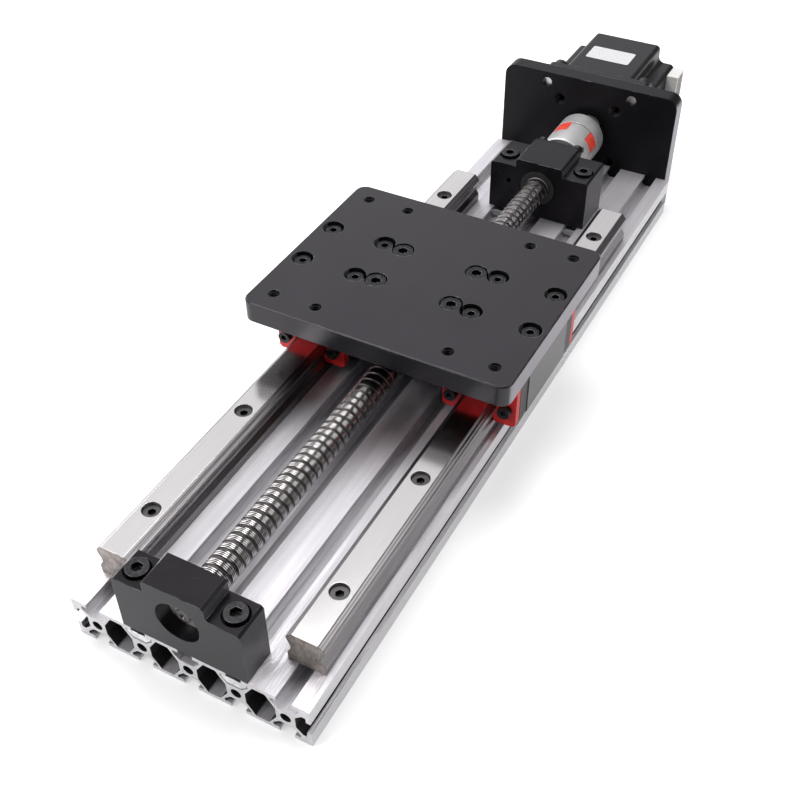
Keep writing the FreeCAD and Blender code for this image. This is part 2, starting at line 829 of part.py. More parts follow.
def make_block_end_caps(x):
    """Moulded ball return caps on both ends of the steel body."""
    start = block_start + block_seal_thickness
    cap = moved(saddle(start, steel_start, block_cap_inset, block_cap_drop), x, 0, rail_base)
    radius = tapped_radius(block_end_screw)
    cap = cap.cut([rod_y(radius, start, steel_start, sx, sz) for sx, sz in block_end_places(x)])
    front, rear = end_pair(cap)
    stem = rod_y(nipple_stem / 2 + thread_clearance, plate_centre, nipple_seat(), x, rail_base + nipple_height)
    return [front, rear.cut(stem)]


def make_block_seals(x):
    """Red wiper seals on both ends of a block."""
    end = block_start + block_seal_thickness
    seal = moved(saddle(block_start, end, block_seal_inset, block_seal_drop), x, 0, rail_base)
    radius = tapped_radius(block_end_screw)
    seal = seal.cut([rod_y(radius, block_start, end, sx, sz) for sx, sz in block_end_places(x)])
    front, rear = end_pair(seal)
    stem = rod_y(nipple_stem / 2 + thread_clearance, plate_centre, nipple_seat(), x, rail_base + nipple_height)
    return [front, rear.cut(stem)]


def make_block_end_screws(x):
    """Two screws in each end of a block, through seal and cap into the steel."""
    screws = []
    for sx, sz in block_end_places(x):
        screw = turned_to_y(cap_screw(block_end_screw, steel_start - block_start), False)
        screws += end_pair(moved(screw, sx, block_start, sz))
    return screws


def nipple_seat():
    """Y of the face that the grease nipple sits on."""
    return block_start + block_length


def make_grease_nipple(x):
    """Ball-headed grease nipple in the rear end of a block."""
    z = rail_base + nipple_height
    seat = nipple_seat()
    shoulder = seat + nipple_hexagon_length
    neck = shoulder + nipple_throat_length
    hexagon = rod_y(nipple_diameter / 2, seat, shoulder, x, z)
    throat = cone_y(nipple_diameter / 2, nipple_throat / 2, shoulder, neck, x, z)
    head = rod_y(nipple_head / 2, neck, seat + nipple_length, x, z)
    stem = rod_y(nipple_stem / 2, seat - nipple_stem_length, seat, x, z)
    return hexagon.fuse([throat, head, stem]).removeSplitter()


def make_block_spacer(x):
    """Packer between a bearing block and the plate, drilled for the plate screws."""
    w = block_width / 2 - block_chamfer
    y0 = plate_centre - spacer_length / 2
    body = box(x - w, x + w, y0, y0 + spacer_length, block_top, plate_underside)
    half = block_screw_pitch / 2
    holes = [rod_z(block_hole / 2, block_top, plate_underside, x + sx * half, plate_centre + sy * half)
             for sx in (-1, 1) for sy in (-1, 1)]
    return body.cut(holes)


def nut_bolt_places():
    """X and Z of the screws in the nut's flange."""
    radius = nut_bolt_circle / 2
    return [(radius * math.cos(math.radians(a)), screw_axis + radius * math.sin(math.radians(a)))
            for a in nut_bolt_angles]


def make_nut_housing():
    """Housing that carries the ball nut under the plate."""
    w = housing_width / 2
    c = housing_chamfer
    low = screw_axis - nut_flange_height / 2
    outline = mirrored([(w - c, low), (w, low + c), (w, plate_underside)])
    body = prism_y(outline, housing_start, housing_end)
    cuts = [rod_y(nut_diameter / 2 + housing_fit, housing_start, housing_end)]
    tip = plate_top - head_height(nut_screw) - nut_screw_sink - nut_screw_length
    radius = tapped_radius(nut_screw)
    cuts += [rod_z(radius, tip - tap_run_out, plate_underside, x, y) for x, y in nut_screw_places()]
    depth = nut_bolt_length - nut_flange_thickness + tap_run_out
    bolt_radius = tapped_radius(nut_bolt)
    cuts += [rod_y(bolt_radius, housing_end - depth, housing_end, x, z) for x, z in nut_bolt_places()]
    return body.cut(cuts)


def make_ball_nut():
    """Flanged ball nut with two flats, seats for its wipers and six flange holes."""
    nut_end = nut_start + nut_length
    flange = rod_y(nut_flange_diameter / 2, housing_end, nut_end)
    half = nut_flange_height / 2
    flange = flange.common(box(-nut_flange_diameter, nut_flange_diameter, housing_end, nut_end, screw_axis - half, screw_axis + half))
    body = rod_y(nut_diameter / 2, nut_start, housing_end).fuse(flange).removeSplitter()
    cuts = [rod_y(screw_diameter / 2 + nut_running_gap, nut_start, nut_end)]
    for y in (nut_start, nut_end - nut_wiper_thickness):
        cuts.append(rod_y(nut_wiper_diameter / 2, y, y + nut_wiper_thickness))
    cuts += [rod_y(thread_radius(nut_bolt) + screw_hole_gap, housing_end, nut_end, x, z) for x, z in nut_bolt_places()]
    return body.cut(cuts)


def make_nut_wipers():
    """Plastic wiper ring in each end of the nut."""
    inner = screw_diameter + 2 * seal_gap
    nut_end = nut_start + nut_length
    return [tube_y(nut_wiper_diameter, inner, y, y + nut_wiper_thickness)
            for y in (nut_start, nut_end - nut_wiper_thickness)]


def make_nut_flange_screws():
    """Six screws through the nut's flange into the housing."""
    screw = turned_to_y(cap_screw(nut_bolt, nut_bolt_length), True)
    return [moved(screw, x, nut_start + nut_length, z) for x, z in nut_bolt_places()]


def sector(inner, outer, angle, y0, y1):
    """Ring sector of the given opening angle, centred on the upward direction."""
    ring = tube_y(2 * outer, 2 * inner, y0, y1)
    half = math.radians(angle / 2)
    reach = 2 * outer
    wedge = [(0, screw_axis), (reach * math.sin(half), screw_axis + reach * math.cos(half)),
             (-reach * math.sin(half), screw_axis + reach * math.cos(half))]
    return ring.common(prism_y(wedge, y0, y1))


def coupling_hub(face, outer_end, bore, jaw_angle, screw_angles):
    """Hub with two jaws; face is where its jaws start and outer_end is its chamfered end."""
    radius = coupling_diameter / 2
    c = coupling_chamfer
    forward = face > outer_end
    if forward:
        body = rod_y(radius, outer_end + c, face).fuse(cone_y(radius - c, radius, outer_end, outer_end + c))
        jaw_span = (face, coupling_gap_end - coupling_jaw_gap)
        screw_y = outer_end + coupling_screw_from_end
    else:
        body = rod_y(radius, face, outer_end - c).fuse(cone_y(radius, radius - c, outer_end - c, outer_end))
        jaw_span = (coupling_gap_start + coupling_jaw_gap, face)
        screw_y = outer_end - coupling_screw_from_end
    opening = 90.0 - coupling_arm_angle - 2 * coupling_jaw_slack
    jaw = sector(coupling_core / 2 + coupling_jaw_root_gap, radius, opening, *jaw_span)
    body = body.fuse([spun(jaw, jaw_angle), spun(jaw, jaw_angle + 180)]).removeSplitter()
    low = min(face, outer_end)
    high = max(face, outer_end)
    hole = rod_z(coupling_screw_diameter / 2, screw_axis, screw_axis + coupling_diameter, 0, screw_y)
    cuts = [rod_y(bore / 2 + bearing_fit, low, high)] + [spun(hole, angle) for angle in screw_angles]
    return body.cut(cuts)


def make_coupling_spider():
    """Elastic spider with four arms between the jaws."""
    y0 = coupling_gap_start + coupling_spider_gap
    y1 = coupling_gap_end - coupling_spider_gap
    radius = coupling_diameter / 2 - coupling_spider_gap
    core = tube_y(coupling_core, coupling_core_bore, y0, y1)
    arm = sector(coupling_core / 2 - coupling_arm_root, radius, coupling_arm_angle, y0, y1)
    arms = [spun(arm, coupling_arm_phase + 90 * i) for i in range(4)]
    return core.fuse(arms).removeSplitter()


def make_coupling_set_screws():
    """Two set screws in each hub."""
    screws = []
    front = (coupling_start + coupling_screw_from_end, end_journal, coupling_front_screw_angles)
    rear = (coupling_end - coupling_screw_from_end, motor_shaft, coupling_rear_screw_angles)
    for y, shaft, angles in (front, rear):
        tip = shaft / 2 + thread_clearance
        screw = set_screw(coupling_screw_diameter, tip, coupling_screw_length, coupling_screw_key)
        screws += [spun(moved(screw, 0, y, screw_axis), angle) for angle in angles]
    return screws


def square_places(pitch):
    """X and Z of four holes on a square about the screw's axis."""
    half = pitch / 2
    return [(sx * half, screw_axis + sz * half) for sx in (-1, 1) for sz in (-1, 1)]


def make_motor_plate():
    """Upright plate on the end of the base, with hole patterns for two motor sizes."""
    radii = (motor_plate_foot_corner, motor_plate_foot_corner, motor_plate_corner, motor_plate_corner)
    slab = rounded_slab(motor_plate_width, motor_plate_height, motor_plate_thickness, radii)
    plate = upright(slab, motor_plate_start, motor_plate_height / 2)
    cuts = [rod_y(motor_plate_opening / 2, motor_plate_start, motor_start),
            rod_y(motor_pilot / 2 + motor_pilot_fit, motor_start - motor_plate_recess_depth, motor_start)]
    countersink_floor = motor_plate_start + (small_motor_countersink - small_motor_hole) / 2
    for x, z in square_places(small_motor_pitch):
        cuts.append(rod_y(small_motor_hole / 2, motor_plate_start, motor_start, x, z))
        cuts.append(cone_y(small_motor_countersink / 2, small_motor_hole / 2, motor_plate_start, countersink_floor, x, z))
    for x, z in square_places(motor_hole_pitch):
        cuts.append(rod_y(tapped_radius(motor_screw), motor_plate_start, motor_start, x, z))
    middle = profile_height / 2
    sink = motor_start - end_screw_head_height
    for x in slot_columns()[::end_screw_every]:
        cuts.append(rod_y(end_screw_shank / 2 + end_screw_gap, motor_plate_start, motor_start, x, middle))
        cuts.append(cone_y(end_screw_shank / 2, end_screw_head / 2, sink, motor_start, x, middle))
    return plate.cut(cuts)


def make_motor_plate_screws():
    """Countersunk screws through the motor plate into the cores of the base."""
    sink = motor_start - end_screw_head_height
    middle = profile_height / 2
    screws = []
    for x in slot_columns()[::end_screw_every]:
        shank = rod_y(end_screw_shank / 2, motor_start - end_screw_length, sink, x, middle)
        head = cone_y(end_screw_shank / 2, end_screw_head / 2, sink, motor_start, x, middle)
        socket = turned_to_y(key_hole(end_screw_key, end_screw_key_depth), True)
        screws.append(shank.fuse(head).removeSplitter().cut(moved(socket, x, motor_start, middle)))
    return screws


def make_motor_mount_screws():
    """Four screws from the motor side, whose tips show in the tapped holes of the plate."""
    seat = motor_start + motor_flange_thickness
    length = seat - motor_plate_start - motor_screw_tip
    screw = turned_to_y(cap_screw(motor_screw, length), True)
    return [moved(screw, x, seat, z) for x, z in square_places(motor_hole_pitch)]


def make_motor_front_flange():
    """Square front bell with its centring boss and bearing seat."""
    slab = rounded_slab(motor_size, motor_size, motor_flange_thickness, (motor_corner,) * 4)
    flange = upright(slab, motor_start, screw_axis)
    flange = flange.fuse(rod_y(motor_pilot / 2, motor_start - motor_pilot_length, motor_start)).removeSplitter()
    end = motor_start + motor_flange_thickness
    front = motor_start - motor_pilot_length
    cuts = [rod_y(motor_hole / 2, motor_start, end, x, z) for x, z in square_places(motor_hole_pitch)]
    cuts.append(rod_y(motor_shaft_opening / 2, front, end))
    cuts.append(rod_y(motor_bearing_diameter / 2 + bearing_fit, front + motor_bearing_lip, end))
    return flange.cut(cuts)


def motor_section(y0, y1):
    """Square body section with a rounded notch at each corner."""
    body = upright(rounded_slab(motor_size, motor_size, y1 - y0, (motor_corner,) * 4), y0, screw_axis)
    notch_slab = rounded_slab(2 * motor_notch, 2 * motor_notch, y1 - y0, (motor_notch_fillet,) * 4)
    notch = upright(notch_slab, y0, 0)
    half = motor_size / 2
    body = body.cut([moved(notch, sx * half, 0, screw_axis + sz * half) for sx in (-1, 1) for sz in (-1, 1)])
    lobes = [edge for edge in body.Edges if is_lobe_edge(edge)]
    return body.makeFillet(motor_edge_radius, lobes)


def is_lobe_edge(edge):
    """True for an edge along Y where a side of the motor meets a corner notch."""
    bounds = edge.BoundBox
    across = abs(bounds.Center.x)
    upright_reach = abs(bounds.Center.z - screw_axis)
    far = max(across, upright_reach)
    near = min(across, upright_reach)
    lobe = motor_size / 2 - motor_notch
    return abs(far - motor_size / 2) < 0.01 and abs(near - lobe) < 0.01 and bounds.XLength + bounds.ZLength < 0.01


def stack_span():
    """Start and end of the laminated stack."""
    return motor_start + motor_flange_thickness, motor_start + motor_length - motor_cap_length


def make_motor_stator():
    """Laminated stack, bored for the rotor, recessed for the windings and drilled for the tie screws."""
    y0, y1 = stack_span()
    cuts = [rod_y(rotor_diameter / 2 + rotor_air_gap, y0, y1),
            rod_y(winding_diameter / 2, y0, y0 + winding_height),
            rod_y(winding_diameter / 2, y1 - winding_height, y1)]
    cuts += [rod_y(tie_screw_diameter / 2 + tie_screw_gap, y0, y1, x, z) for x, z in square_places(tie_screw_pitch)]
    return motor_section(y0, y1).cut(cuts)


def make_motor_windings():
    """Winding heads in both ends of the stack."""
    y0, y1 = stack_span()
    gap = motor_inner_gap
    outer = winding_diameter - 2 * gap
    return [tube_y(outer, winding_inner, y0 + gap, y0 + winding_height),
            tube_y(outer, winding_inner, y1 - winding_height, y1 - gap)]


def make_motor_rear_cap():
    """Rear bell with the rear bearing seat and recesses for the tie screw heads."""
    y1 = stack_span()[1]
    end = motor_start + motor_length
    body = motor_section(y1, end)
    seat_end = y1 + motor_bearing_width
    cuts = [rod_y(motor_bearing_diameter / 2 + bearing_fit, y1, seat_end)]
    for x, z in square_places(tie_screw_pitch):
        cuts.append(rod_y(tie_screw_diameter / 2 + tie_screw_gap, y1, end, x, z))
        cuts.append(rod_y(tie_screw_head / 2 + screw_hole_gap, end - tie_screw_head_height, end, x, z))
    return body.cut(cuts)


def make_motor_shaft():
    """Motor shaft from the coupling to the rear bearing."""
    rear = stack_span()[1] + motor_bearing_width - motor_inner_gap
    return rod_y(motor_shaft / 2, coupling_gap_end + motor_shaft_end, rear)


def make_motor_rotor():
    """Rotor stack pressed on the motor shaft."""
    y0, y1 = stack_span()
    middle = (y0 + y1) / 2
    bore = motor_shaft + 2 * bearing_fit
    return tube_y(rotor_diameter, bore, middle - rotor_length / 2, middle + rotor_length / 2)


def make_motor_bearings():
    """Front and rear bearing of the motor, each as one closed ring."""
    front = motor_start - motor_pilot_length + motor_bearing_lip
    bore = motor_shaft + 2 * motor_shaft_fit
    return [tube_y(motor_bearing_diameter, bore, y, y + motor_bearing_width) for y in (front, stack_span()[1])]


def make_motor_tie_screws():
    """Four long screws that clamp the motor together, with cross-slotted heads."""
    end = motor_start + motor_length
    seat = end - tie_screw_head_height
    screws = []
    for x, z in square_places(tie_screw_pitch):
        head = rod_y(tie_screw_head / 2, seat, end, x, z)
        shank = rod_y(tie_screw_diameter / 2, end - tie_screw_depth, seat, x, z)
        w = tie_screw_slot / 2
        reach = tie_screw_slot_length / 2
        floor = end - tie_screw_slot_depth
        cross = [box(x - w, x + w, floor, end, z - reach, z + reach),
                 box(x - reach, x + reach, floor, end, z - w, z + w)]
        screws.append(head.fuse(shank).removeSplitter().cut(cross))
    return screws


def make_motor_connector():
    """Lead socket on the motor's right side."""
    x0 = motor_size / 2
    y1 = motor_start + motor_length - connector_rear_gap
    y0 = y1 - connector_length
    z1 = screw_axis + connector_top
    z0 = z1 - connector_height
    w = connector_wall
    shell = box(x0, x0 + connector_depth, y0, y1, z0, z1)
    floor = x0 + connector_depth - connector_cavity
    return shell.cut(box(floor, x0 + connector_depth, y0 + w, y1 - w, z0 + w, z1 - w))


def main():
    os.makedirs("parts", exist_ok=True)

    write("base_profile", make_base_profile())
    write("rail_screws", make_rail_screws())
    write("rail_slot_nuts", make_rail_slot_nuts())
    for side, x in zip(("left", "right"), rail_columns()):
        write(side + "_rail", make_rail(x))
        write(side + "_block_body", make_block_body(x))
        write(side + "_block_end_caps", make_block_end_caps(x))
        write(side + "_block_seals", make_block_seals(x))
        write(side + "_block_end_screws", make_block_end_screws(x))
        write(side + "_block_grease_nipple", make_grease_nipple(x))
        write(side + "_block_spacer", make_block_spacer(x))

    write("front_support_block", make_front_support_block())
    outer, inner = bearing_rings(front_bearing, front_bearing_start, True)
    write("front_bearing_outer_ring", outer)
    write("front_bearing_inner_ring", inner)
    write("front_bearing_balls", ball_row(front_bearing, front_bearing_start))
    write("front_snap_ring", make_snap_ring())

    write("rear_support_block", make_rear_support_block())
    write("rear_support_seal", make_rear_support_seal())
    rings = [bearing_rings(rear_bearing, start, False) for start in rear_bearing_starts()]
    write("rear_bearing_outer_rings", [outer for outer, inner in rings])
    write("rear_bearing_inner_rings", [inner for outer, inner in rings])
    write("rear_bearing_balls", [ball_row(rear_bearing, start) for start in rear_bearing_starts()])
    write("rear_bearing_lid", make_rear_bearing_lid())
    write("rear_lid_screws", make_rear_lid_screws())
    write("rear_spacer_collars", make_rear_spacer_collars())
    write("lock_nut", make_lock_nut())
    write("lock_nut_set_screw", make_lock_nut_set_screw())
    write("support_screws", make_support_screws())
    write("support_slot_nuts", make_support_slot_nuts())

    write("ball_screw", make_ball_screw())
    write("ball_nut", make_ball_nut())
    write("nut_wipers", make_nut_wipers())
    write("nut_flange_screws", make_nut_flange_screws())
    write("nut_housing", make_nut_housing())
    write("carriage_plate", make_carriage_plate())
    write("plate_block_screws", make_plate_block_screws())
    write("plate_nut_screws", make_plate_nut_screws())

    write("coupling_front_hub", coupling_hub(coupling_gap_start, coupling_start, end_journal,
                                             coupling_arm_phase - 45, coupling_front_screw_angles))
    write("coupling_rear_hub", coupling_hub(coupling_gap_end, coupling_end, motor_shaft,
                                            coupling_arm_phase + 45, coupling_rear_screw_angles))
    write("coupling_spider", make_coupling_spider())
    write("coupling_set_screws", make_coupling_set_screws())

    write("motor_plate", make_motor_plate())
    write("motor_plate_screws", make_motor_plate_screws())
    write("motor_mount_screws", make_motor_mount_screws())
    write("motor_front_flange", make_motor_front_flange())
    write("motor_stator", make_motor_stator())
    write("motor_windings", make_motor_windings())
    write("motor_rear_cap", make_motor_rear_cap())
    write("motor_shaft", make_motor_shaft())
    write("motor_rotor", make_motor_rotor())
    write("motor_bearings", make_motor_bearings())
    write("motor_tie_screws", make_motor_tie_screws())
    write("motor_connector", make_motor_connector())


main()
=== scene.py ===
import math

import bpy
from mathutils import Matrix, Vector


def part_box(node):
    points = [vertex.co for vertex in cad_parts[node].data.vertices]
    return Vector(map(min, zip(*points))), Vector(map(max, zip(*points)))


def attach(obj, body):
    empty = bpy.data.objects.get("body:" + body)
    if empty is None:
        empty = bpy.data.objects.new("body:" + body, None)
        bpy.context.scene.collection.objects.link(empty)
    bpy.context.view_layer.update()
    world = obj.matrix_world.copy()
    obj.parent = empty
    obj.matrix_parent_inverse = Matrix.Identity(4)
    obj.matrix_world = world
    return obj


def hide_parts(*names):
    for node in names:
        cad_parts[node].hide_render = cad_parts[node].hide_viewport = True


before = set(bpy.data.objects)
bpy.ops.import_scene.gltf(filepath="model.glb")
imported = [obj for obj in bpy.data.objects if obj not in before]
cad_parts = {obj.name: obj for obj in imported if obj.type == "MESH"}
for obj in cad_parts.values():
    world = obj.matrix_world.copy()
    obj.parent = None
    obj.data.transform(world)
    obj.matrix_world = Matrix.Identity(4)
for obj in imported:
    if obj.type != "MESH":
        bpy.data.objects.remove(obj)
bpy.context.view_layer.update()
bpy.ops.object.select_all(action="DESELECT")


# Base: an aluminium extrusion of five slotted cells, clear anodised, left as it came from the press.
# It has fine draw lines along its length and the arcs of the saw on its cut ends.
# Its long cells are painted near black inside as painted shade, and its flanks facing left and right are
# painted darker as painted shade.

class Tap:
    """A value flowing through a material, which adds, scales and compares like a number."""

    def __init__(self, tree, socket):
        self.tree = tree
        self.socket = socket

    def node(self, kind, settings=None, sockets=None, output=0):
        """Add a node, set it up, feed its sockets, and hand back one of its outputs."""
        made = self.tree.nodes.new(kind)
        for name, value in (settings or {}).items():
            setattr(made, name, value)
        for name, value in (sockets or {}).items():
            if isinstance(value, Tap):
                self.tree.links.new(value.socket, made.inputs[name])
            else:
                made.inputs[name].default_value = value
        return Tap(self.tree, made.outputs[output])

    def sum(self, operation, *values):
        """One Math node on plain values."""
        return self.node("ShaderNodeMath", {"operation": operation}, dict(enumerate(values)))

    def __add__(self, other):
        return self.sum("ADD", self, other)

    def __radd__(self, other):
        return self.sum("ADD", other, self)

    def __sub__(self, other):
        return self.sum("SUBTRACT", self, other)

    def __rsub__(self, other):
        return self.sum("SUBTRACT", other, self)

    def __mul__(self, other):
        return self.sum("MULTIPLY", self, other)

    def __abs__(self):
        return self.sum("ABSOLUTE", self)

    def root(self):
        return self.sum("SQRT", self)

    def clamp(self):
        return self.node("ShaderNodeClamp", None, {"Value": self})

    def part(self, axis):
        """One coordinate of a vector."""
        return self.node("ShaderNodeSeparateXYZ", None, {"Vector": self}, axis)

    def noise(self, scale, stretch=(1.0, 1.0, 1.0), detail=4.0, roughness=0.55):
        """Cloudy pattern over object coordinates, drawn out along some of them."""
        laid = self.node("ShaderNodeMapping", None, {"Vector": self, "Scale": stretch})
        return laid.node("ShaderNodeTexNoise", None,
                         {"Vector": laid, "Scale": scale, "Detail": detail, "Roughness": roughness})

    def lines(self, scale):
        """Fine uneven lines across a single coordinate."""
        return self.node("ShaderNodeTexNoise", {"noise_dimensions": "1D"},
                         {"W": self, "Scale": scale, "Detail": 2.0})

    def steps(self, low, high):
        """Ease from 0 to 1 as the value goes from low to high."""
        return self.node("ShaderNodeMapRange", {"interpolation_type": "SMOOTHSTEP"},
                         {"Value": self, "From Min": low, "From Max": high})

    def mix(self, first, second):
        """Blend two colours, with this value as the share of the second."""
        made = self.tree.nodes.new("ShaderNodeMix")
        made.data_type = "RGBA"
        for slot, value in ((0, self), (6, first), (7, second)):
            if isinstance(value, Tap):
                self.tree.links.new(value.socket, made.inputs[slot])
            else:
                made.inputs[slot].default_value = (*value, 1.0)
        return Tap(self.tree, made.outputs[2])

    def bump(self, strength, distance, under=None):
        """Relief made from this value."""
        sockets = {"Height": self, "Strength": strength, "Distance": distance}
        if under is not None:
            sockets["Normal"] = under
        return self.node("ShaderNodeBump", None, sockets)

    def rounded(self, radius):
        """Surface direction with the edges softened."""
        return self.node("ShaderNodeBevel", {"samples": 6}, {"Radius": radius})

    def edges(self, soft):
        """How far the softened direction leaves the true one: 1 along an edge."""
        true = self.node("ShaderNodeNewGeometry", None, None, 1)
        close = self.node("ShaderNodeVectorMath", {"operation": "DOT_PRODUCT"}, {0: true, 1: soft}, 1)
        return (1.0 - close).steps(0.02, 0.2)

    def facing(self, axis):
        """One coordinate of the true surface direction."""
        return self.node("ShaderNodeNewGeometry", None, None, 1).part(axis)

    def radius_about(self, axis_height):
        """Distance from a lengthwise axis at a height above the middle of the base's width."""
        across = self.part(0)
        above = self.part(2) - axis_height
        return (across * across + above * above).root()


def new_finish(name):
    """A fresh material and the object coordinates that its pattern starts from."""
    material = bpy.data.materials.new(name)
    material.use_nodes = True
    material.node_tree.nodes.clear()
    coordinates = material.node_tree.nodes.new("ShaderNodeTexCoord").outputs["Object"]
    return material, Tap(material.node_tree, coordinates)


def close_finish(here, **sockets):
    """Put the shader and the output on a material."""
    named = {}
    for name, value in sockets.items():
        label = {"specular": "Specular IOR Level"}.get(name, name.replace("_", " ").title())
        named[label] = (*value, 1.0) if isinstance(value, tuple) else value
    shader = here.node("ShaderNodeBsdfPrincipled", None, named)
    output = here.tree.nodes.new("ShaderNodeOutputMaterial")
    here.tree.links.new(shader.socket, output.inputs["Surface"])


def dress(material, *names):
    """Give a material to the pieces that are used as they are."""
    for name in names:
        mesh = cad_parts[name].data
        mesh.materials.clear()
        mesh.materials.append(material)


cell_floor = (0.0016, 0.0024)
cell_roof = (0.0132, 0.0142)
cell_side = (0.0474, 0.0482)
clear_aluminium, here = new_finish("clear_anodised_aluminium")
draw_lines = here.noise(6500.0, (1.0, 0.002, 1.0), 1.0)
broad_lines = here.noise(500.0, (1.0, 0.01, 1.0), 3.0)
blotches = here.noise(60.0, (1.0, 0.35, 1.0), 5.0)
cut_face = abs(here.facing(1)).steps(0.85, 0.95)
side_face = abs(here.facing(0)).steps(0.8, 0.95)
saw_arcs = here.noise(1400.0, (0.35, 1.0, 1.0), 2.0)
height = here.part(2)
# Painted shade: the walls inside the long cells are painted near black and matt, where shade falls in them.
ceiling = 1.0 - here.facing(2).steps(-0.6, -0.2)
low_wall = height.steps(*cell_floor) * (1.0 - height.steps(*cell_roof) * (1.0 - ceiling))
within = 1.0 - abs(here.part(0)).steps(*cell_side)
painted_cell_shade = low_wall * within * (1.0 - cut_face)
soft = here.rounded(0.00025)
shade = (draw_lines * 0.2 + broad_lines * 0.45 + blotches * 0.35).steps(0.32, 0.68)
tone = shade.mix((0.83, 0.805, 0.845), (0.985, 0.965, 1.0))
# Painted shade: the flanks facing left and right are painted darker than the top.
outside = side_face.mix(tone, shade.mix((0.62, 0.61, 0.63), (0.73, 0.72, 0.735)))
sawn = (cut_face * 0.9).mix(outside, saw_arcs.steps(0.3, 0.7).mix((0.52, 0.51, 0.52), (0.66, 0.65, 0.66)))
drawn = (draw_lines * (1.0 - cut_face)).bump(0.7, 0.0004, soft)
close_finish(here, base_color=painted_cell_shade.mix(sawn, (0.006, 0.006, 0.006)), metallic=0.6 - painted_cell_shade * 0.6,
             roughness=0.3 + blotches * 0.1 + painted_cell_shade * 0.35,
             normal=(saw_arcs * cut_face).bump(0.12, 0.0001, drawn))
dress(clear_aluminium, "base_profile")


# Slot nuts: zinc-plated steel nuts that slide in the slots and take the screws from above.
# The long ones under the supports show at their ends. The motor's tie screws are plated in the same way.

zinc, here = new_finish("zinc_plate")
cloud = here.noise(420.0)
soft = here.rounded(0.0002)
close_finish(here, base_color=cloud.steps(0.35, 0.7).mix((0.56, 0.57, 0.58), (0.78, 0.79, 0.80)),
             metallic=1.0, roughness=0.24 + cloud * 0.2, normal=cloud.bump(0.12, 0.00005, soft))
dress(zinc, "rail_slot_nuts", "support_slot_nuts", "motor_tie_screws")


# Rails: hardened steel, drawn to shape, ground on top and on the running sides, cut off by a wheel.
# The cut ends are scorched brown at their rims. The sides are painted darker than the top as painted shade,
# and a painted shadow runs along the foot.
# A fine step runs along the shoulders.

shoulder_slope = (0.0332, 0.0347)
shoulder_step = (0.0327, 0.0330)
foot_shadow = (0.0200, 0.0206)
rail_steel, here = new_finish("ground_rail")
grinding = here.noise(5200.0, (1.0, 0.006, 1.0), 2.0)
length_shade = here.noise(40.0, (1.0, 0.2, 1.0))
end_face = abs(here.facing(1))
cut_end = end_face.steps(0.8, 0.95)
scorch = here.noise(300.0, detail=5.0)
# Painted light and shade: the top is painted light and the sides dark.
lit_top = here.facing(2).steps(0.75, 0.98)
ground = (grinding * 0.4 + length_shade * 0.6).steps(0.3, 0.7)
bright = ground.mix((0.60, 0.59, 0.58), (0.68, 0.67, 0.66))
painted_side_shading = ground.mix((0.16, 0.152, 0.156), (0.25, 0.238, 0.244))
soft = here.rounded(0.0009)
rim = here.edges(soft)
wheel_marks = here.noise(2600.0, (0.5, 1.0, 0.12), 2.0)
cut = (scorch * 0.6 + wheel_marks * 0.4).steps(0.3, 0.7).mix((0.22, 0.19, 0.17), (0.46, 0.42, 0.39))
burnt = (rim * scorch.steps(0.36, 0.6)).mix(cut, (0.10, 0.062, 0.036))
height = here.part(2)
shoulder = (1.0 - height.steps(*shoulder_slope)) * 0.6 + (1.0 - height.steps(*shoulder_step)) * 0.17
shape = (shoulder * (1.0 - cut_end)).bump(1.0, 0.001, here.rounded(0.0003))
# Painted shadow: a near black band along the foot, where the rail stands on the base.
foot_shade = 1.0 - height.steps(*foot_shadow)
long_faces = (foot_shade * 0.85).mix(lit_top.mix(painted_side_shading, bright), (0.03, 0.028, 0.03))
close_finish(here, base_color=cut_end.mix(long_faces, burnt), metallic=1.0 - cut_end * 0.25,
             roughness=0.12 + grinding * 0.08 + cut_end * 0.28 + (1.0 - lit_top) * (1.0 - cut_end) * 0.12,
             normal=(grinding * (1.0 - cut_end) + wheel_marks * cut_end).bump(0.12, 0.00008, shape))
dress(rail_steel, "left_rail", "right_rail")


# Lock nut, and the socket screws of rails, blocks, lid, nut, motor plate and coupling: black oxide steel.
# Faces that look up are painted lighter than the sides and the walls of the key sockets, as painted light,
# and every edge is painted bright as a painted highlight.

black_oxide, here = new_finish("black_oxide")
grime = here.noise(900.0)
soft = here.rounded(0.00025)
# Painted highlight: every edge is painted lighter.
edge_wear_and_highlight = here.edges(soft)
oil = grime.steps(0.35, 0.75).mix((0.016, 0.016, 0.017), (0.04, 0.04, 0.043))
# Painted light: faces that look up are painted lighter.
lit_top = here.facing(2).steps(0.9, 0.98)
lit_head = (lit_top * 0.6).mix(oil, (0.13, 0.128, 0.13))
close_finish(here, base_color=(edge_wear_and_highlight * 0.5).mix(lit_head, (0.24, 0.24, 0.245)), metallic=0.8,
             roughness=0.28 + grime * 0.18, normal=grime.bump(0.2, 0.00005, soft))
dress(black_oxide, "rail_screws", "nut_flange_screws", "left_block_end_screws", "right_block_end_screws",
      "rear_lid_screws", "motor_plate_screws", "coupling_set_screws", "lock_nut", "lock_nut_set_screw")

# The screws in the plate and the supports have the edges of their heads painted bright as a painted
# highlight, and their head tops painted a little lighter as painted light.

heads_with_painted_highlight, here = new_finish("black_oxide_painted_highlights")
grime = here.noise(700.0)
# Painted light: the head tops get a lighter tone than the sides.
lit_head_top = here.facing(2).steps(0.8, 0.97)
soft = here.rounded(0.0003)
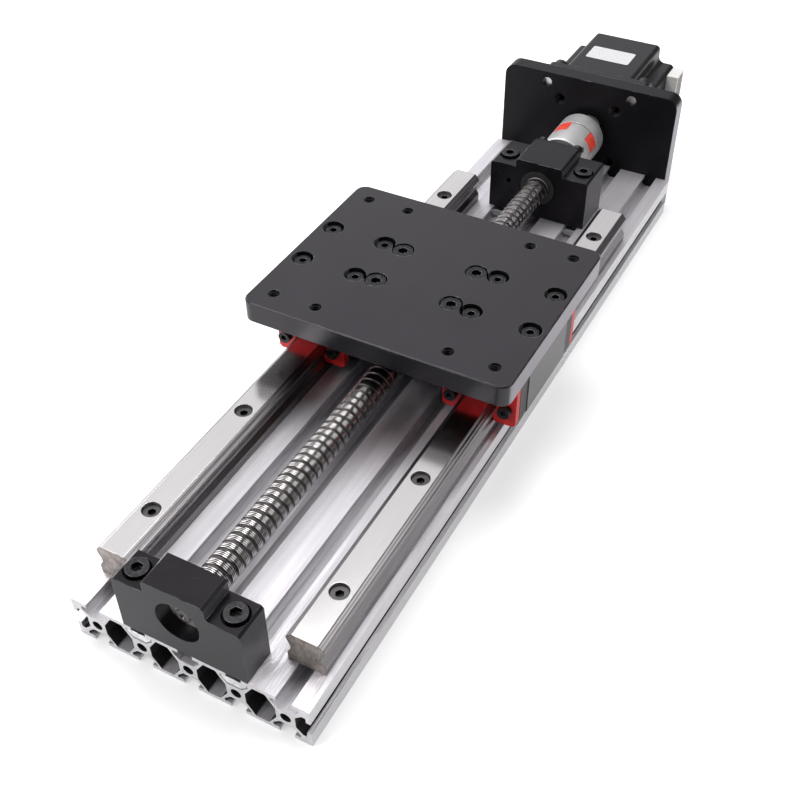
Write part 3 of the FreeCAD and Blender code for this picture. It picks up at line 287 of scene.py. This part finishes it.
# Painted highlight: the edges of the heads are painted bright.
edge_wear_and_highlight = here.edges(soft)
dull = grime.steps(0.3, 0.7).mix((0.018, 0.018, 0.019), (0.045, 0.044, 0.047))
close_finish(here,
             base_color=(edge_wear_and_highlight * 0.65).mix(lit_head_top.mix((0.02, 0.02, 0.021), dull), (0.42, 0.42, 0.43)),
             metallic=0.85, roughness=0.27 + grime * 0.16, normal=grime.bump(0.16, 0.00005, soft))
dress(heads_with_painted_highlight, "support_screws", "plate_block_screws", "plate_nut_screws")


# Motor screws: black socket screws put in from the motor's side.
# Their bright worn tips and first threads show at the front. A wave's bands lie 0.314 / scale metres apart,
# so these are 0.8 mm apart, the pitch of the thread.

motor_screw_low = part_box("motor_mount_screws")[0]
motor_thread_bands = 393.0
tip_from, tip_to = 0.003, 0.006
worn_tips, here = new_finish("worn_screw_tips")
grime = here.noise(900.0)
along = here.part(1)
tip = 1.0 - along.steps(motor_screw_low.y + tip_from, motor_screw_low.y + tip_to)
threads = here.node("ShaderNodeTexWave", {"bands_direction": "Y", "wave_profile": "TRI"},
                    {"Vector": here, "Scale": motor_thread_bands})
shank = 1.0 - abs(here.facing(1)).steps(0.3, 0.6)
soft = here.rounded(0.00025)
close_finish(here, base_color=tip.mix((0.03, 0.03, 0.032), (0.88, 0.875, 0.86)), metallic=0.75,
             roughness=0.28 + grime * 0.15, normal=(threads * shank * tip).bump(0.8, 0.0004, soft))
dress(worn_tips, "motor_mount_screws")


# Carriage plate, nut housing and the packers on the blocks: milled aluminium, bead blasted, anodised black.
# Their flanks facing left and right are painted lighter and more metallic as a painted reflection, and
# corners that have been knocked show bare metal.

black_anodised, here = new_finish("black_anodise")
grain = here.noise(3800.0, detail=2.0)
smear = here.noise(34.0, detail=5.0)
wiped = here.noise(90.0, (1.0, 0.3, 1.0), 5.0)
soft = here.rounded(0.00045)
knocks = here.edges(soft) * here.noise(130.0, detail=5.0).steps(0.5, 0.64)
black = (smear * 0.6 + wiped * 0.4).steps(0.3, 0.75).mix((0.005, 0.0048, 0.0056), (0.009, 0.0086, 0.0098))
# Painted reflection: flanks facing left and right are painted lighter and more metallic.
painted_side_light = abs(here.facing(0)).steps(0.85, 0.97) * 0.6
face = painted_side_light.mix(black, (0.36, 0.355, 0.365))
close_finish(here, base_color=(knocks * 0.6).mix(face, (0.46, 0.46, 0.47)),
             metallic=knocks * 0.6 + painted_side_light * (1.0 - knocks),
             roughness=0.27 + smear * 0.1 + grain * 0.05, specular=0.48, specular_tint=(0.97, 0.92, 1.0),
             normal=grain.bump(0.06, 0.00004, soft))
dress(black_anodised, "carriage_plate", "nut_housing", "left_block_spacer", "right_block_spacer")

# The motor plate is dyed deeper and sealed matt, so that its broad face shows hardly any sheen.

deep_black, here = new_finish("deep_black_anodise")
grain = here.noise(3400.0, detail=2.0)
smear = here.noise(40.0, detail=5.0)
soft = here.rounded(0.0005)
knocks = here.edges(soft) * here.noise(130.0, detail=5.0).steps(0.5, 0.64)
black = smear.steps(0.3, 0.75).mix((0.0045, 0.0043, 0.005), (0.008, 0.0077, 0.0088))
# Painted reflection: flanks facing left and right are painted lighter and more metallic.
painted_side_light = abs(here.facing(0)).steps(0.85, 0.97) * 0.6
face = painted_side_light.mix(black, (0.40, 0.395, 0.405))
close_finish(here, base_color=(knocks * 0.6).mix(face, (0.46, 0.46, 0.47)),
             metallic=knocks * 0.6 + painted_side_light * (1.0 - knocks),
             roughness=0.3 + smear * 0.12, specular=0.15, specular_tint=(0.97, 0.92, 1.0),
             normal=grain.bump(0.05, 0.00004, soft))
dress(deep_black, "motor_plate")


# Screw supports: two milled steel blocks and the lid of the rear one, blackened in a hot bath and oiled.
# The oil leaves them smooth and deep black, the sharp corners are rubbed bright, and their flanks facing
# left and right are painted lighter as painted light.

blued_steel, here = new_finish("blackened_support")
cloud = here.noise(60.0, detail=5.0)
milling = here.noise(1500.0, (1.0, 0.15, 1.0), 2.0)
soft = here.rounded(0.00035)
edge_wear_and_highlight = here.edges(soft) * here.noise(160.0, detail=5.0).steps(0.44, 0.6)
black = cloud.steps(0.3, 0.75).mix((0.006, 0.0057, 0.0066), (0.011, 0.0106, 0.012))
# Painted light: flanks facing left and right are painted lighter.
painted_side_shading = (abs(here.facing(0)).steps(0.85, 0.97) * 0.4).mix(black, (0.2, 0.197, 0.203))
close_finish(here, base_color=(edge_wear_and_highlight * 0.5).mix(painted_side_shading, (0.40, 0.40, 0.41)), metallic=edge_wear_and_highlight * 0.6,
             roughness=0.2 + cloud * 0.12, specular=0.19, specular_tint=(0.98, 0.9, 1.0),
             normal=milling.bump(0.05, 0.00004, soft))
dress(blued_steel, "front_support_block", "rear_support_block", "rear_bearing_lid")


# Threads of the eight holes for the load: tapped before the plate was anodised, so they are black too.
# Each is a ridge of triangular section that winds down the hole.

black_thread, here = new_finish("tapped_thread")
cuttings = here.noise(1500.0)
close_finish(here, base_color=cuttings.steps(0.3, 0.7).mix((0.012, 0.012, 0.013), (0.05, 0.05, 0.052)),
             metallic=0.3, roughness=0.26 + cuttings * 0.16, normal=cuttings.bump(0.1, 0.00005))

plate_low, plate_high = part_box("carriage_plate")
plate_middle_y = (plate_low.y + plate_high.y) / 2
hole_radius = 0.0025
thread_pitch = 0.001
thread_turns = 9
thread_steps = 20
thread_lift = 0.0005
ridge = 0.00028
ridge_sink = 0.55
hole_columns = (-0.05, -0.03, 0.03, 0.05)
hole_rows = (-0.04, 0.04)
hole_places = [(x, plate_middle_y + y) for x in hole_columns for y in hole_rows]


def settle(piece, name, material, body, *nodes):
    """Name a finished piece, put its place into its mesh, and hang it on its body."""
    bpy.ops.object.transform_apply(location=True, rotation=True, scale=True)
    piece.name = name
    piece.data.name = name
    piece.data.materials.clear()
    piece.data.materials.append(material)
    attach(piece, body)
    if nodes:
        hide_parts(*nodes)
    bpy.ops.object.select_all(action="DESELECT")


bpy.ops.mesh.primitive_circle_add(vertices=3, radius=ridge,
                                  location=(hole_radius - ridge * ridge_sink, 0.0, 0.0),
                                  rotation=(math.radians(90), math.radians(90), 0.0))
ridge_piece = bpy.context.object
bpy.ops.object.transform_apply(location=True, rotation=True, scale=True)
wound = ridge_piece.modifiers.new("wound", "SCREW")
wound.axis = "Z"
wound.screw_offset = thread_pitch
wound.angle = 2 * math.pi
wound.iterations = thread_turns
wound.steps = thread_steps
wound.render_steps = thread_steps
bpy.ops.object.modifier_apply(modifier="wound")
bpy.ops.object.mode_set(mode="EDIT")
bpy.ops.mesh.select_all(action="SELECT")
bpy.ops.mesh.fill_holes(sides=3)
bpy.ops.mesh.select_all(action="SELECT")
bpy.ops.mesh.normals_make_consistent(inside=False)
bpy.ops.object.mode_set(mode="OBJECT")
for number, (x, y) in enumerate(hole_places):
    bpy.ops.object.select_all(action="DESELECT")
    ridge_piece.select_set(True)
    bpy.context.view_layer.objects.active = ridge_piece
    if number < len(hole_places) - 1:
        bpy.ops.object.duplicate()
    hole_thread = bpy.context.object
    hole_thread.location = (x, y, plate_low.z + thread_lift)
    settle(hole_thread, f"table_hole_thread_{number + 1}", black_thread, "carriage")


# Bearings, collars, snap ring and ball nut: hardened and ground steel.
# Turning and polishing leave rings about the screw's axis.

screw_z = 0.037
bearing_steel, here = new_finish("bearing_steel")
turning_lines_and_sheen = here.radius_about(screw_z).lines(4200.0)
soft = here.rounded(0.0002)
close_finish(here, base_color=turning_lines_and_sheen.steps(0.3, 0.7).mix((0.72, 0.71, 0.68), (0.92, 0.91, 0.88)),
             metallic=0.55, roughness=0.26 + turning_lines_and_sheen * 0.14, normal=turning_lines_and_sheen.bump(0.08, 0.00004, soft))
dress(bearing_steel, "front_bearing_outer_ring", "front_bearing_inner_ring", "front_bearing_balls",
      "front_snap_ring", "rear_bearing_outer_rings", "rear_bearing_inner_rings", "rear_bearing_balls",
      "rear_spacer_collars", "motor_bearings", "ball_nut")

# The ring seal of the rear support and the wipers of the ball nut are moulded rubber.

black_rubber, here = new_finish("seal_rubber")
bloom = here.noise(700.0)
soft = here.rounded(0.0003)
close_finish(here, base_color=bloom.steps(0.3, 0.7).mix((0.012, 0.012, 0.012), (0.03, 0.03, 0.031)),
             roughness=0.42 + bloom * 0.2, specular=0.4, normal=bloom.bump(0.15, 0.00005, soft))
dress(black_rubber, "rear_support_seal", "nut_wipers")


# Ball screw: a rolled and polished steel shaft with a right-hand ball groove, turned down at both ends.
# The ball groove is a round-bottomed channel, painted dark as painted shade, and the lands between its
# turns show fine turning lines, painted in near black and bright bands that also stand for a banded painted
# reflection.

screw_radius = 0.006
screw_lead = 0.004
groove_radius = 0.0008
groove_centre = 0.0063
winding_steps = 40
block_gap = 0.001
same_place = 1e-6
smooth_angle = math.radians(35)
screw_low, screw_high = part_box("ball_screw")
thread_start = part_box("front_support_block")[1].y + block_gap
thread_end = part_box("rear_spacer_collars")[0].y
nut_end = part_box("lock_nut")[1].y
turns = math.ceil((thread_end - thread_start) / screw_lead) + 2
bpy.ops.mesh.primitive_circle_add(vertices=32, radius=groove_radius,
                                  location=(0.0, thread_start - screw_lead, screw_z))
thread = bpy.context.object
bpy.ops.object.mode_set(mode="EDIT")
bpy.ops.mesh.select_mode(type="VERT")
bpy.ops.transform.translate(value=(groove_centre, 0.0, 0.0))
bpy.ops.mesh.bisect(plane_co=(screw_radius, 0.0, screw_z), plane_no=(1.0, 0.0, 0.0), clear_outer=True)


def pick(test, kind="vert"):
    """Select the vertices or faces of the mesh in edit mode that pass a test."""
    mesh = bpy.context.object.data
    bpy.ops.mesh.select_all(action="DESELECT")
    bpy.ops.object.mode_set(mode="OBJECT")
    for element in (mesh.vertices if kind == "vert" else mesh.polygons):
        element.select = test(element)
    bpy.ops.object.mode_set(mode="EDIT")


bpy.ops.object.mode_set(mode="OBJECT")
half_mouth = max(v.co.y for v in thread.data.vertices)
bpy.ops.object.mode_set(mode="EDIT")
pick(lambda v: abs(v.co.y) > half_mouth - same_place and v.co.x > groove_centre - groove_radius / 2)
bpy.ops.transform.resize(value=(0.0, 1.0, 1.0), center_override=(screw_radius, 0.0, screw_z))
pick(lambda v: v.co.x > screw_radius - same_place and v.co.y > 0.0)
bpy.ops.mesh.extrude_region_move(TRANSFORM_OT_translate={"value": (0.0, screw_lead - 2 * half_mouth, 0.0)})
bpy.ops.object.mode_set(mode="OBJECT")
winding = thread.modifiers.new("winding", "SCREW")
winding.axis = "Y"
winding.screw_offset = screw_lead
winding.angle = 2 * math.pi
winding.iterations = turns
winding.steps = winding_steps
winding.render_steps = winding_steps
winding.use_merge_vertices = True
bpy.ops.object.modifier_apply(modifier="winding")
bpy.ops.object.mode_set(mode="EDIT")
bpy.ops.mesh.select_all(action="SELECT")
bpy.ops.mesh.remove_doubles(threshold=same_place)
for place, outward in ((thread_start, -1.0), (thread_end, 1.0)):
    bpy.ops.mesh.select_all(action="SELECT")
    bpy.ops.mesh.bisect(plane_co=(0.0, place, screw_z), plane_no=(0.0, outward, 0.0),
                        clear_outer=True, use_fill=True)
bpy.ops.mesh.select_all(action="SELECT")
bpy.ops.mesh.normals_make_consistent(inside=False)
bpy.ops.object.mode_set(mode="OBJECT")
bpy.ops.object.shade_smooth_by_angle(angle=smooth_angle)

end_radius = 0.003
seat_radius = 0.004
chamfer = 0.0003
centre_hole_inset = 0.0014
centre_hole_depth = 0.0018
centre_hole_taper = 0.15
journals = ((end_radius, screw_low.y, thread_start),
            (seat_radius, thread_end, nut_end),
            (end_radius, nut_end, screw_high.y))
for journal_radius, start, end in journals:
    bpy.ops.mesh.primitive_cylinder_add(vertices=48, radius=journal_radius, depth=end - start,
                                        location=(0.0, (start + end) / 2, screw_z),
                                        rotation=(math.radians(90), 0.0, 0.0))
    bpy.ops.object.transform_apply(location=True, rotation=True, scale=True)
    bpy.ops.object.mode_set(mode="EDIT")
    bpy.ops.mesh.select_mode(type="FACE")
    pick(lambda f: abs(f.normal.y) > 0.9, "face")
    bpy.ops.mesh.bevel(offset=chamfer, segments=2)
    if start == screw_low.y:
        pick(lambda f: f.normal.y < -0.99, "face")
        bpy.ops.mesh.inset(thickness=centre_hole_inset)
        bpy.ops.mesh.extrude_region_move(TRANSFORM_OT_translate={"value": (0.0, centre_hole_depth, 0.0)})
        bpy.ops.transform.resize(value=(centre_hole_taper, 1.0, centre_hole_taper),
                                 center_override=(0.0, start, screw_z))
    bpy.ops.object.mode_set(mode="OBJECT")
    bpy.ops.object.shade_smooth_by_angle(angle=smooth_angle)
    thread.select_set(True)
    bpy.context.view_layer.objects.active = thread
    bpy.ops.object.join()

land_edge = (0.00585, 0.00597)
ring_bands = 420.0
polished, here = new_finish("polished_screw")
land = here.radius_about(screw_z).steps(*land_edge)
film = here.noise(240.0, (1.0, 0.4, 1.0))
rings = here.node("ShaderNodeTexWave", {"bands_direction": "Y", "wave_profile": "SIN"},
                  {"Vector": here, "Scale": ring_bands, "Distortion": 0.25, "Detail": 1.0})
# Painted shade: the groove is painted dark.
groove_painted_shade = film.steps(0.3, 0.7).mix((0.06, 0.053, 0.052), (0.12, 0.11, 0.108))
# The turning rings are painted in near black and bright bands, which also stand for a banded painted
# reflection.
turning_lines_and_sheen = rings.steps(0.5, 0.85).mix((0.02, 0.016, 0.016), (0.80, 0.78, 0.77))
close_finish(here, base_color=land.mix(groove_painted_shade, turning_lines_and_sheen), metallic=1.0,
             roughness=0.3 + film * 0.1 - land * 0.2, normal=(rings * land).bump(0.7, 0.0001))
settle(thread, "ball_screw_thread", polished, "screw", "ball_screw")
dress(polished, "motor_shaft", "ball_screw")


# Bearing blocks: a steel saddle between two moulded black end caps, wiped by red seals at both ends.
# The saddle is ground below and blackened outside, and the grease nipples are brass.

block_steel, here = new_finish("blackened_block")
grinding = here.noise(4200.0, (1.0, 0.01, 1.0), 2.0)
haze = here.noise(70.0)
soft = here.rounded(0.0004)
worn = here.edges(soft) * haze.steps(0.4, 0.6)
dark = (grinding * 0.4 + haze * 0.6).steps(0.3, 0.7).mix((0.07, 0.068, 0.07), (0.13, 0.127, 0.13))
close_finish(here, base_color=(worn * 0.5).mix(dark, (0.45, 0.44, 0.43)), metallic=0.9,
             roughness=0.3 + haze * 0.16, normal=grinding.bump(0.08, 0.00006, soft))
dress(block_steel, "left_block_body", "right_block_body")

black_plastic, here = new_finish("moulded_black")
stipple = here.noise(2600.0, detail=2.0)
soft = here.rounded(0.0004)
close_finish(here, base_color=stipple.steps(0.3, 0.7).mix((0.010, 0.010, 0.011), (0.020, 0.020, 0.021)),
             roughness=0.42 + stipple * 0.12, specular=0.4, normal=stipple.bump(0.12, 0.00004, soft))
dress(black_plastic, "left_block_end_caps", "right_block_end_caps")

red_seal, here = new_finish("red_seal")
stipple = here.noise(1900.0, detail=3.0)
wear = here.noise(160.0)
soft = here.rounded(0.0004)
close_finish(here, base_color=wear.steps(0.3, 0.7).mix((0.60, 0.012, 0.016), (0.78, 0.03, 0.03)),
             roughness=0.38 + stipple * 0.16, specular=0.4, normal=stipple.bump(0.1, 0.00004, soft))
dress(red_seal, "left_block_seals", "right_block_seals")

brass, here = new_finish("nipple_brass")
tarnish = here.noise(500.0)
soft = here.rounded(0.0002)
close_finish(here, base_color=tarnish.steps(0.3, 0.7).mix((0.50, 0.36, 0.14), (0.78, 0.62, 0.30)),
             metallic=1.0, roughness=0.26 + tarnish * 0.2, normal=tarnish.bump(0.1, 0.00004, soft))
dress(brass, "left_block_grease_nipple", "right_block_grease_nipple")


# Coupling: two turned and tumbled aluminium hubs with jaws, and a red elastic spider between them.
# The hubs carry fine turning rings and bright chamfers.

hub_aluminium, here = new_finish("turned_hub")
rings = here.part(1).lines(5200.0)
haze = here.noise(120.0)
soft = here.rounded(0.0004)
bright_rim = here.edges(soft)
satin = (rings * 0.7 + haze * 0.3).steps(0.3, 0.7).mix((0.58, 0.575, 0.575), (0.82, 0.815, 0.815))
close_finish(here, base_color=satin, metallic=0.8 + bright_rim * 0.2,
             roughness=0.4 + haze * 0.14 - bright_rim * 0.15, normal=rings.bump(0.2, 0.00006, soft))
dress(hub_aluminium, "coupling_front_hub", "coupling_rear_hub")

red_spider, here = new_finish("red_elastomer")
cloud = here.noise(300.0)
soft = here.rounded(0.0004)
close_finish(here, base_color=cloud.steps(0.3, 0.7).mix((0.66, 0.05, 0.03), (0.84, 0.085, 0.055)),
             roughness=0.36 + cloud * 0.14, normal=cloud.bump(0.08, 0.00005, soft))
dress(red_spider, "coupling_spider")


# Stepper motor: die-cast end bells and a laminated stack, all under one coat of black paint.
# The stack's sheets, 0.5 mm thick, show as fine lines across its sides.

sheet_bands = 630.0
motor_black, here = new_finish("motor_paint")
sheets = here.node("ShaderNodeTexWave", {"bands_direction": "Y", "wave_profile": "SIN"},
                   {"Vector": here, "Scale": sheet_bands, "Distortion": 0.6, "Detail": 2.0})
peel = here.noise(1300.0, detail=3.0)
smear = here.noise(45.0)
soft = here.rounded(0.0005)
side_face = 1.0 - abs(here.facing(1)).steps(0.4, 0.8)
edge_wear_and_highlight = here.edges(soft) * here.noise(220.0).steps(0.5, 0.62)
paint = smear.steps(0.3, 0.7).mix((0.005, 0.0048, 0.0054), (0.009, 0.0088, 0.0096))
close_finish(here, base_color=(edge_wear_and_highlight * 0.35).mix(paint, (0.35, 0.35, 0.36)),
             roughness=0.3 + smear * 0.12, specular=0.25,
             normal=(sheets * side_face * 0.6 + peel * 0.5).bump(0.12, 0.00006, soft))
dress(motor_black, "motor_front_flange", "motor_stator", "motor_rear_cap")

# Inside, out of sight, are a rotor of bare sheets and windings of enamelled copper.

rotor_iron, here = new_finish("rotor_iron")
leaves = here.part(1).lines(2600.0)
close_finish(here, base_color=leaves.steps(0.3, 0.7).mix((0.30, 0.29, 0.28), (0.48, 0.47, 0.46)),
             metallic=1.0, roughness=0.34 + leaves * 0.14, normal=leaves.bump(0.12, 0.00006))
dress(rotor_iron, "motor_rotor")

copper, here = new_finish("enamelled_copper")
strands = here.noise(2400.0, (1.0, 0.2, 1.0), 2.0)
close_finish(here, base_color=strands.steps(0.3, 0.7).mix((0.36, 0.12, 0.04), (0.62, 0.28, 0.12)),
             metallic=1.0, roughness=0.3 + strands * 0.2, normal=strands.bump(0.3, 0.0001))
dress(copper, "motor_windings")


# Lead socket: a shell of pale nylon on the motor's side, with six tinned pins standing in it.
# The pins are cut from square wire and their ends are nipped to a taper.

white_plastic, here = new_finish("socket_plastic")
cloud = here.noise(600.0, detail=3.0)
soft = here.rounded(0.0003)
close_finish(here, base_color=cloud.steps(0.3, 0.7).mix((0.72, 0.71, 0.67), (0.82, 0.81, 0.78)),
             roughness=0.34 + cloud * 0.12, normal=cloud.bump(0.06, 0.00004, soft))
dress(white_plastic, "motor_connector")

tinned, here = new_finish("tinned_pin")
plating = here.noise(1200.0)
close_finish(here, base_color=plating.steps(0.3, 0.7).mix((0.66, 0.66, 0.65), (0.84, 0.84, 0.82)),
             metallic=1.0, roughness=0.2 + plating * 0.16, normal=plating.bump(0.06, 0.00004))

socket_low, socket_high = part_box("motor_connector")
socket_depth = 0.0045
pin_count = 6
pin_side = 0.00064
pin_length = 0.0034
pin_pitch = 0.0022
pin_sink = 0.0002
pin_tip = 0.0005
tip_taper = 0.45
pin_seat = socket_high.x - socket_depth
bpy.ops.mesh.primitive_cube_add(size=pin_side)
pin = bpy.context.object
pin.scale = (pin_length / pin_side, 1.0, 1.0)
bpy.ops.object.transform_apply(location=False, rotation=False, scale=True)
bpy.ops.object.mode_set(mode="EDIT")
bpy.ops.mesh.select_mode(type="FACE")
pick(lambda f: f.normal.x > 0.9, "face")
bpy.ops.mesh.extrude_region_move(TRANSFORM_OT_translate={"value": (pin_tip, 0.0, 0.0)})
bpy.ops.transform.resize(value=(1.0, tip_taper, tip_taper),
                         center_override=(pin_length / 2 + pin_tip, 0.0, 0.0))
bpy.ops.object.mode_set(mode="OBJECT")
for number in range(pin_count):
    bpy.ops.object.select_all(action="DESELECT")
    pin.select_set(True)
    bpy.context.view_layer.objects.active = pin
    if number < pin_count - 1:
        bpy.ops.object.duplicate()
    standing = bpy.context.object
    standing.location = (pin_seat + pin_length / 2 - pin_sink,
                         (socket_low.y + socket_high.y) / 2,
                         (socket_low.z + socket_high.z) / 2 + (number - (pin_count - 1) / 2) * pin_pitch)
    settle(standing, f"socket_pin_{number + 1}", tinned, "base")


# Motor sticker: a blank pale film stuck on the flat top of the motor, its corners rounded.
# Its gloss is uneven, because the film was pressed down by hand.

motor_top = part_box("motor_rear_cap")[1].z
motor_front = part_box("motor_front_flange")[0].y
sticker_size = (0.0241, 0.0144, 1.0)
sticker_corner = 0.0012
off_middle = -0.0014
behind_front = 0.0278
film_thickness = 0.00008
bpy.ops.mesh.primitive_plane_add(size=1.0, location=(off_middle, motor_front + behind_front,
                                                     motor_top + film_thickness))
sticker = bpy.context.object
sticker.scale = sticker_size
bpy.ops.object.transform_apply(location=False, rotation=False, scale=True)
bpy.ops.object.mode_set(mode="EDIT")
bpy.ops.mesh.select_all(action="SELECT")
bpy.ops.mesh.bevel(offset=sticker_corner, segments=5, affect="VERTICES")
bpy.ops.object.mode_set(mode="OBJECT")
film = sticker.modifiers.new("film", "SOLIDIFY")
film.thickness = film_thickness
film.offset = 1.0
bpy.ops.object.modifier_apply(modifier="film")

sticker_white, here = new_finish("sticker_film")
mottle = here.noise(900.0)
ripple = here.noise(120.0, detail=3.0)
close_finish(here, base_color=mottle.steps(0.3, 0.7).mix((0.58, 0.58, 0.595), (0.68, 0.68, 0.69)),
             roughness=0.36 + mottle * 0.15, normal=ripple.bump(0.12, 0.0002))
settle(sticker, "motor_sticker", sticker_white, "base")


# Studio: a white table in a tent, bright at the left and grey at the right, but plain white to the camera.
# Its lamps are a soft box overhead, a key lamp at the front left and one lamp at each side.
# The camera stands in front of the module's right corner and looks down along it.

floor, here = new_finish("studio_paper")
paper = here.noise(6.0, detail=2.0)
rays = here.tree.nodes.new("ShaderNodeLightPath")
seen = Tap(here.tree, rays.outputs["Is Camera Ray"])
glossy = Tap(here.tree, rays.outputs["Is Glossy Ray"])
through = Tap(here.tree, rays.outputs["Is Transmission Ray"])
matte = here.node("ShaderNodeBsdfDiffuse", None,
                  {"Color": paper.steps(0.2, 0.8).mix((0.78, 0.78, 0.78), (0.81, 0.81, 0.81))})
glow = here.node("ShaderNodeEmission", None, {"Color": (1.0, 1.0, 1.0, 1.0), "Strength": 0.45})
both = here.node("ShaderNodeAddShader", None, {0: matte, 1: glow})
direct = (seen + glossy + through).clamp()
mixed = here.node("ShaderNodeMixShader", None, {0: direct, 1: matte, 2: both})
here.tree.links.new(mixed.socket, here.tree.nodes.new("ShaderNodeOutputMaterial").inputs["Surface"])

bpy.ops.mesh.primitive_plane_add(size=8.0, location=(0.0, 1.5, -0.0002))
table = bpy.context.object
table.name = "studio_floor"
table.data.materials.append(floor)
bpy.ops.object.transform_apply(location=True, rotation=True, scale=True)

room = bpy.data.worlds.new("pale_tent")
bpy.context.scene.world = room
room.use_nodes = True
sky = Tap(room.node_tree, room.node_tree.nodes.new("ShaderNodeTexCoord").outputs["Generated"])
brightest = (-1.0, 0.25, 0.12)
lit_side = sky.node("ShaderNodeVectorMath", {"operation": "DOT_PRODUCT"}, {0: sky, 1: brightest}, 1)
tent = lit_side.steps(0.0, 0.7).mix((0.20, 0.195, 0.205), (1.08, 1.06, 1.10))
looked_at = Tap(room.node_tree, room.node_tree.nodes.new("ShaderNodeLightPath").outputs["Is Camera Ray"])
backdrop = looked_at.mix(tent, (1.0, 1.0, 1.0))
room.node_tree.links.new(backdrop.socket, room.node_tree.nodes["Background"].inputs["Color"])
room.node_tree.nodes["Background"].inputs["Strength"].default_value = 1.0

lamps = (("overhead_box", (-0.15, 0.25, 1.4), (0.0, 0.0, 0.0), 0.7, 0.7, 9.0),
         ("key_lamp", (-0.62, -0.85, 1.05), (0.0, 0.0, 0.03), 0.5, 0.5, 6.0),
         ("left_strip", (-1.1, 0.3, 0.45), (0.0, 0.0, 0.03), 0.35, 0.9, 3.0),
         ("right_fill", (0.75, 0.4, 0.85), (0.0, 0.0, 0.0), 0.6, 0.6, 3.4))
for name, place, target, width, height, power in lamps:
    bpy.ops.object.light_add(type="AREA", location=place)
    lamp = bpy.context.object
    lamp.name = name
    lamp.data.shape = "RECTANGLE"
    lamp.data.size = width
    lamp.data.size_y = height
    lamp.data.energy = power
    lamp.rotation_euler = (Vector(target) - Vector(place)).to_track_quat("-Z", "Y").to_euler()

azimuth = math.radians(28.702)
elevation = math.radians(42.509)
roll = math.radians(-0.677)
right = Vector((math.cos(azimuth), math.sin(azimuth), 0.0))
back = Vector((math.sin(azimuth) * math.cos(elevation),
               -math.cos(azimuth) * math.cos(elevation),
               math.sin(elevation)))
up = back.cross(right)
turned_right = right * math.cos(roll) + up * math.sin(roll)
turned_up = up * math.cos(roll) - right * math.sin(roll)
bpy.ops.object.camera_add(location=(0.17305, -0.37368, 0.34132))
camera = bpy.context.object
stance = Matrix((turned_right, turned_up, back)).transposed().to_4x4()
stance.translation = camera.location
camera.matrix_world = stance
camera.data.sensor_width = 36.0
camera.data.lens = 50.456
camera.data.clip_start = 0.01
bpy.context.scene.camera = camera
bpy.context.scene.view_settings.view_transform = "Standard"
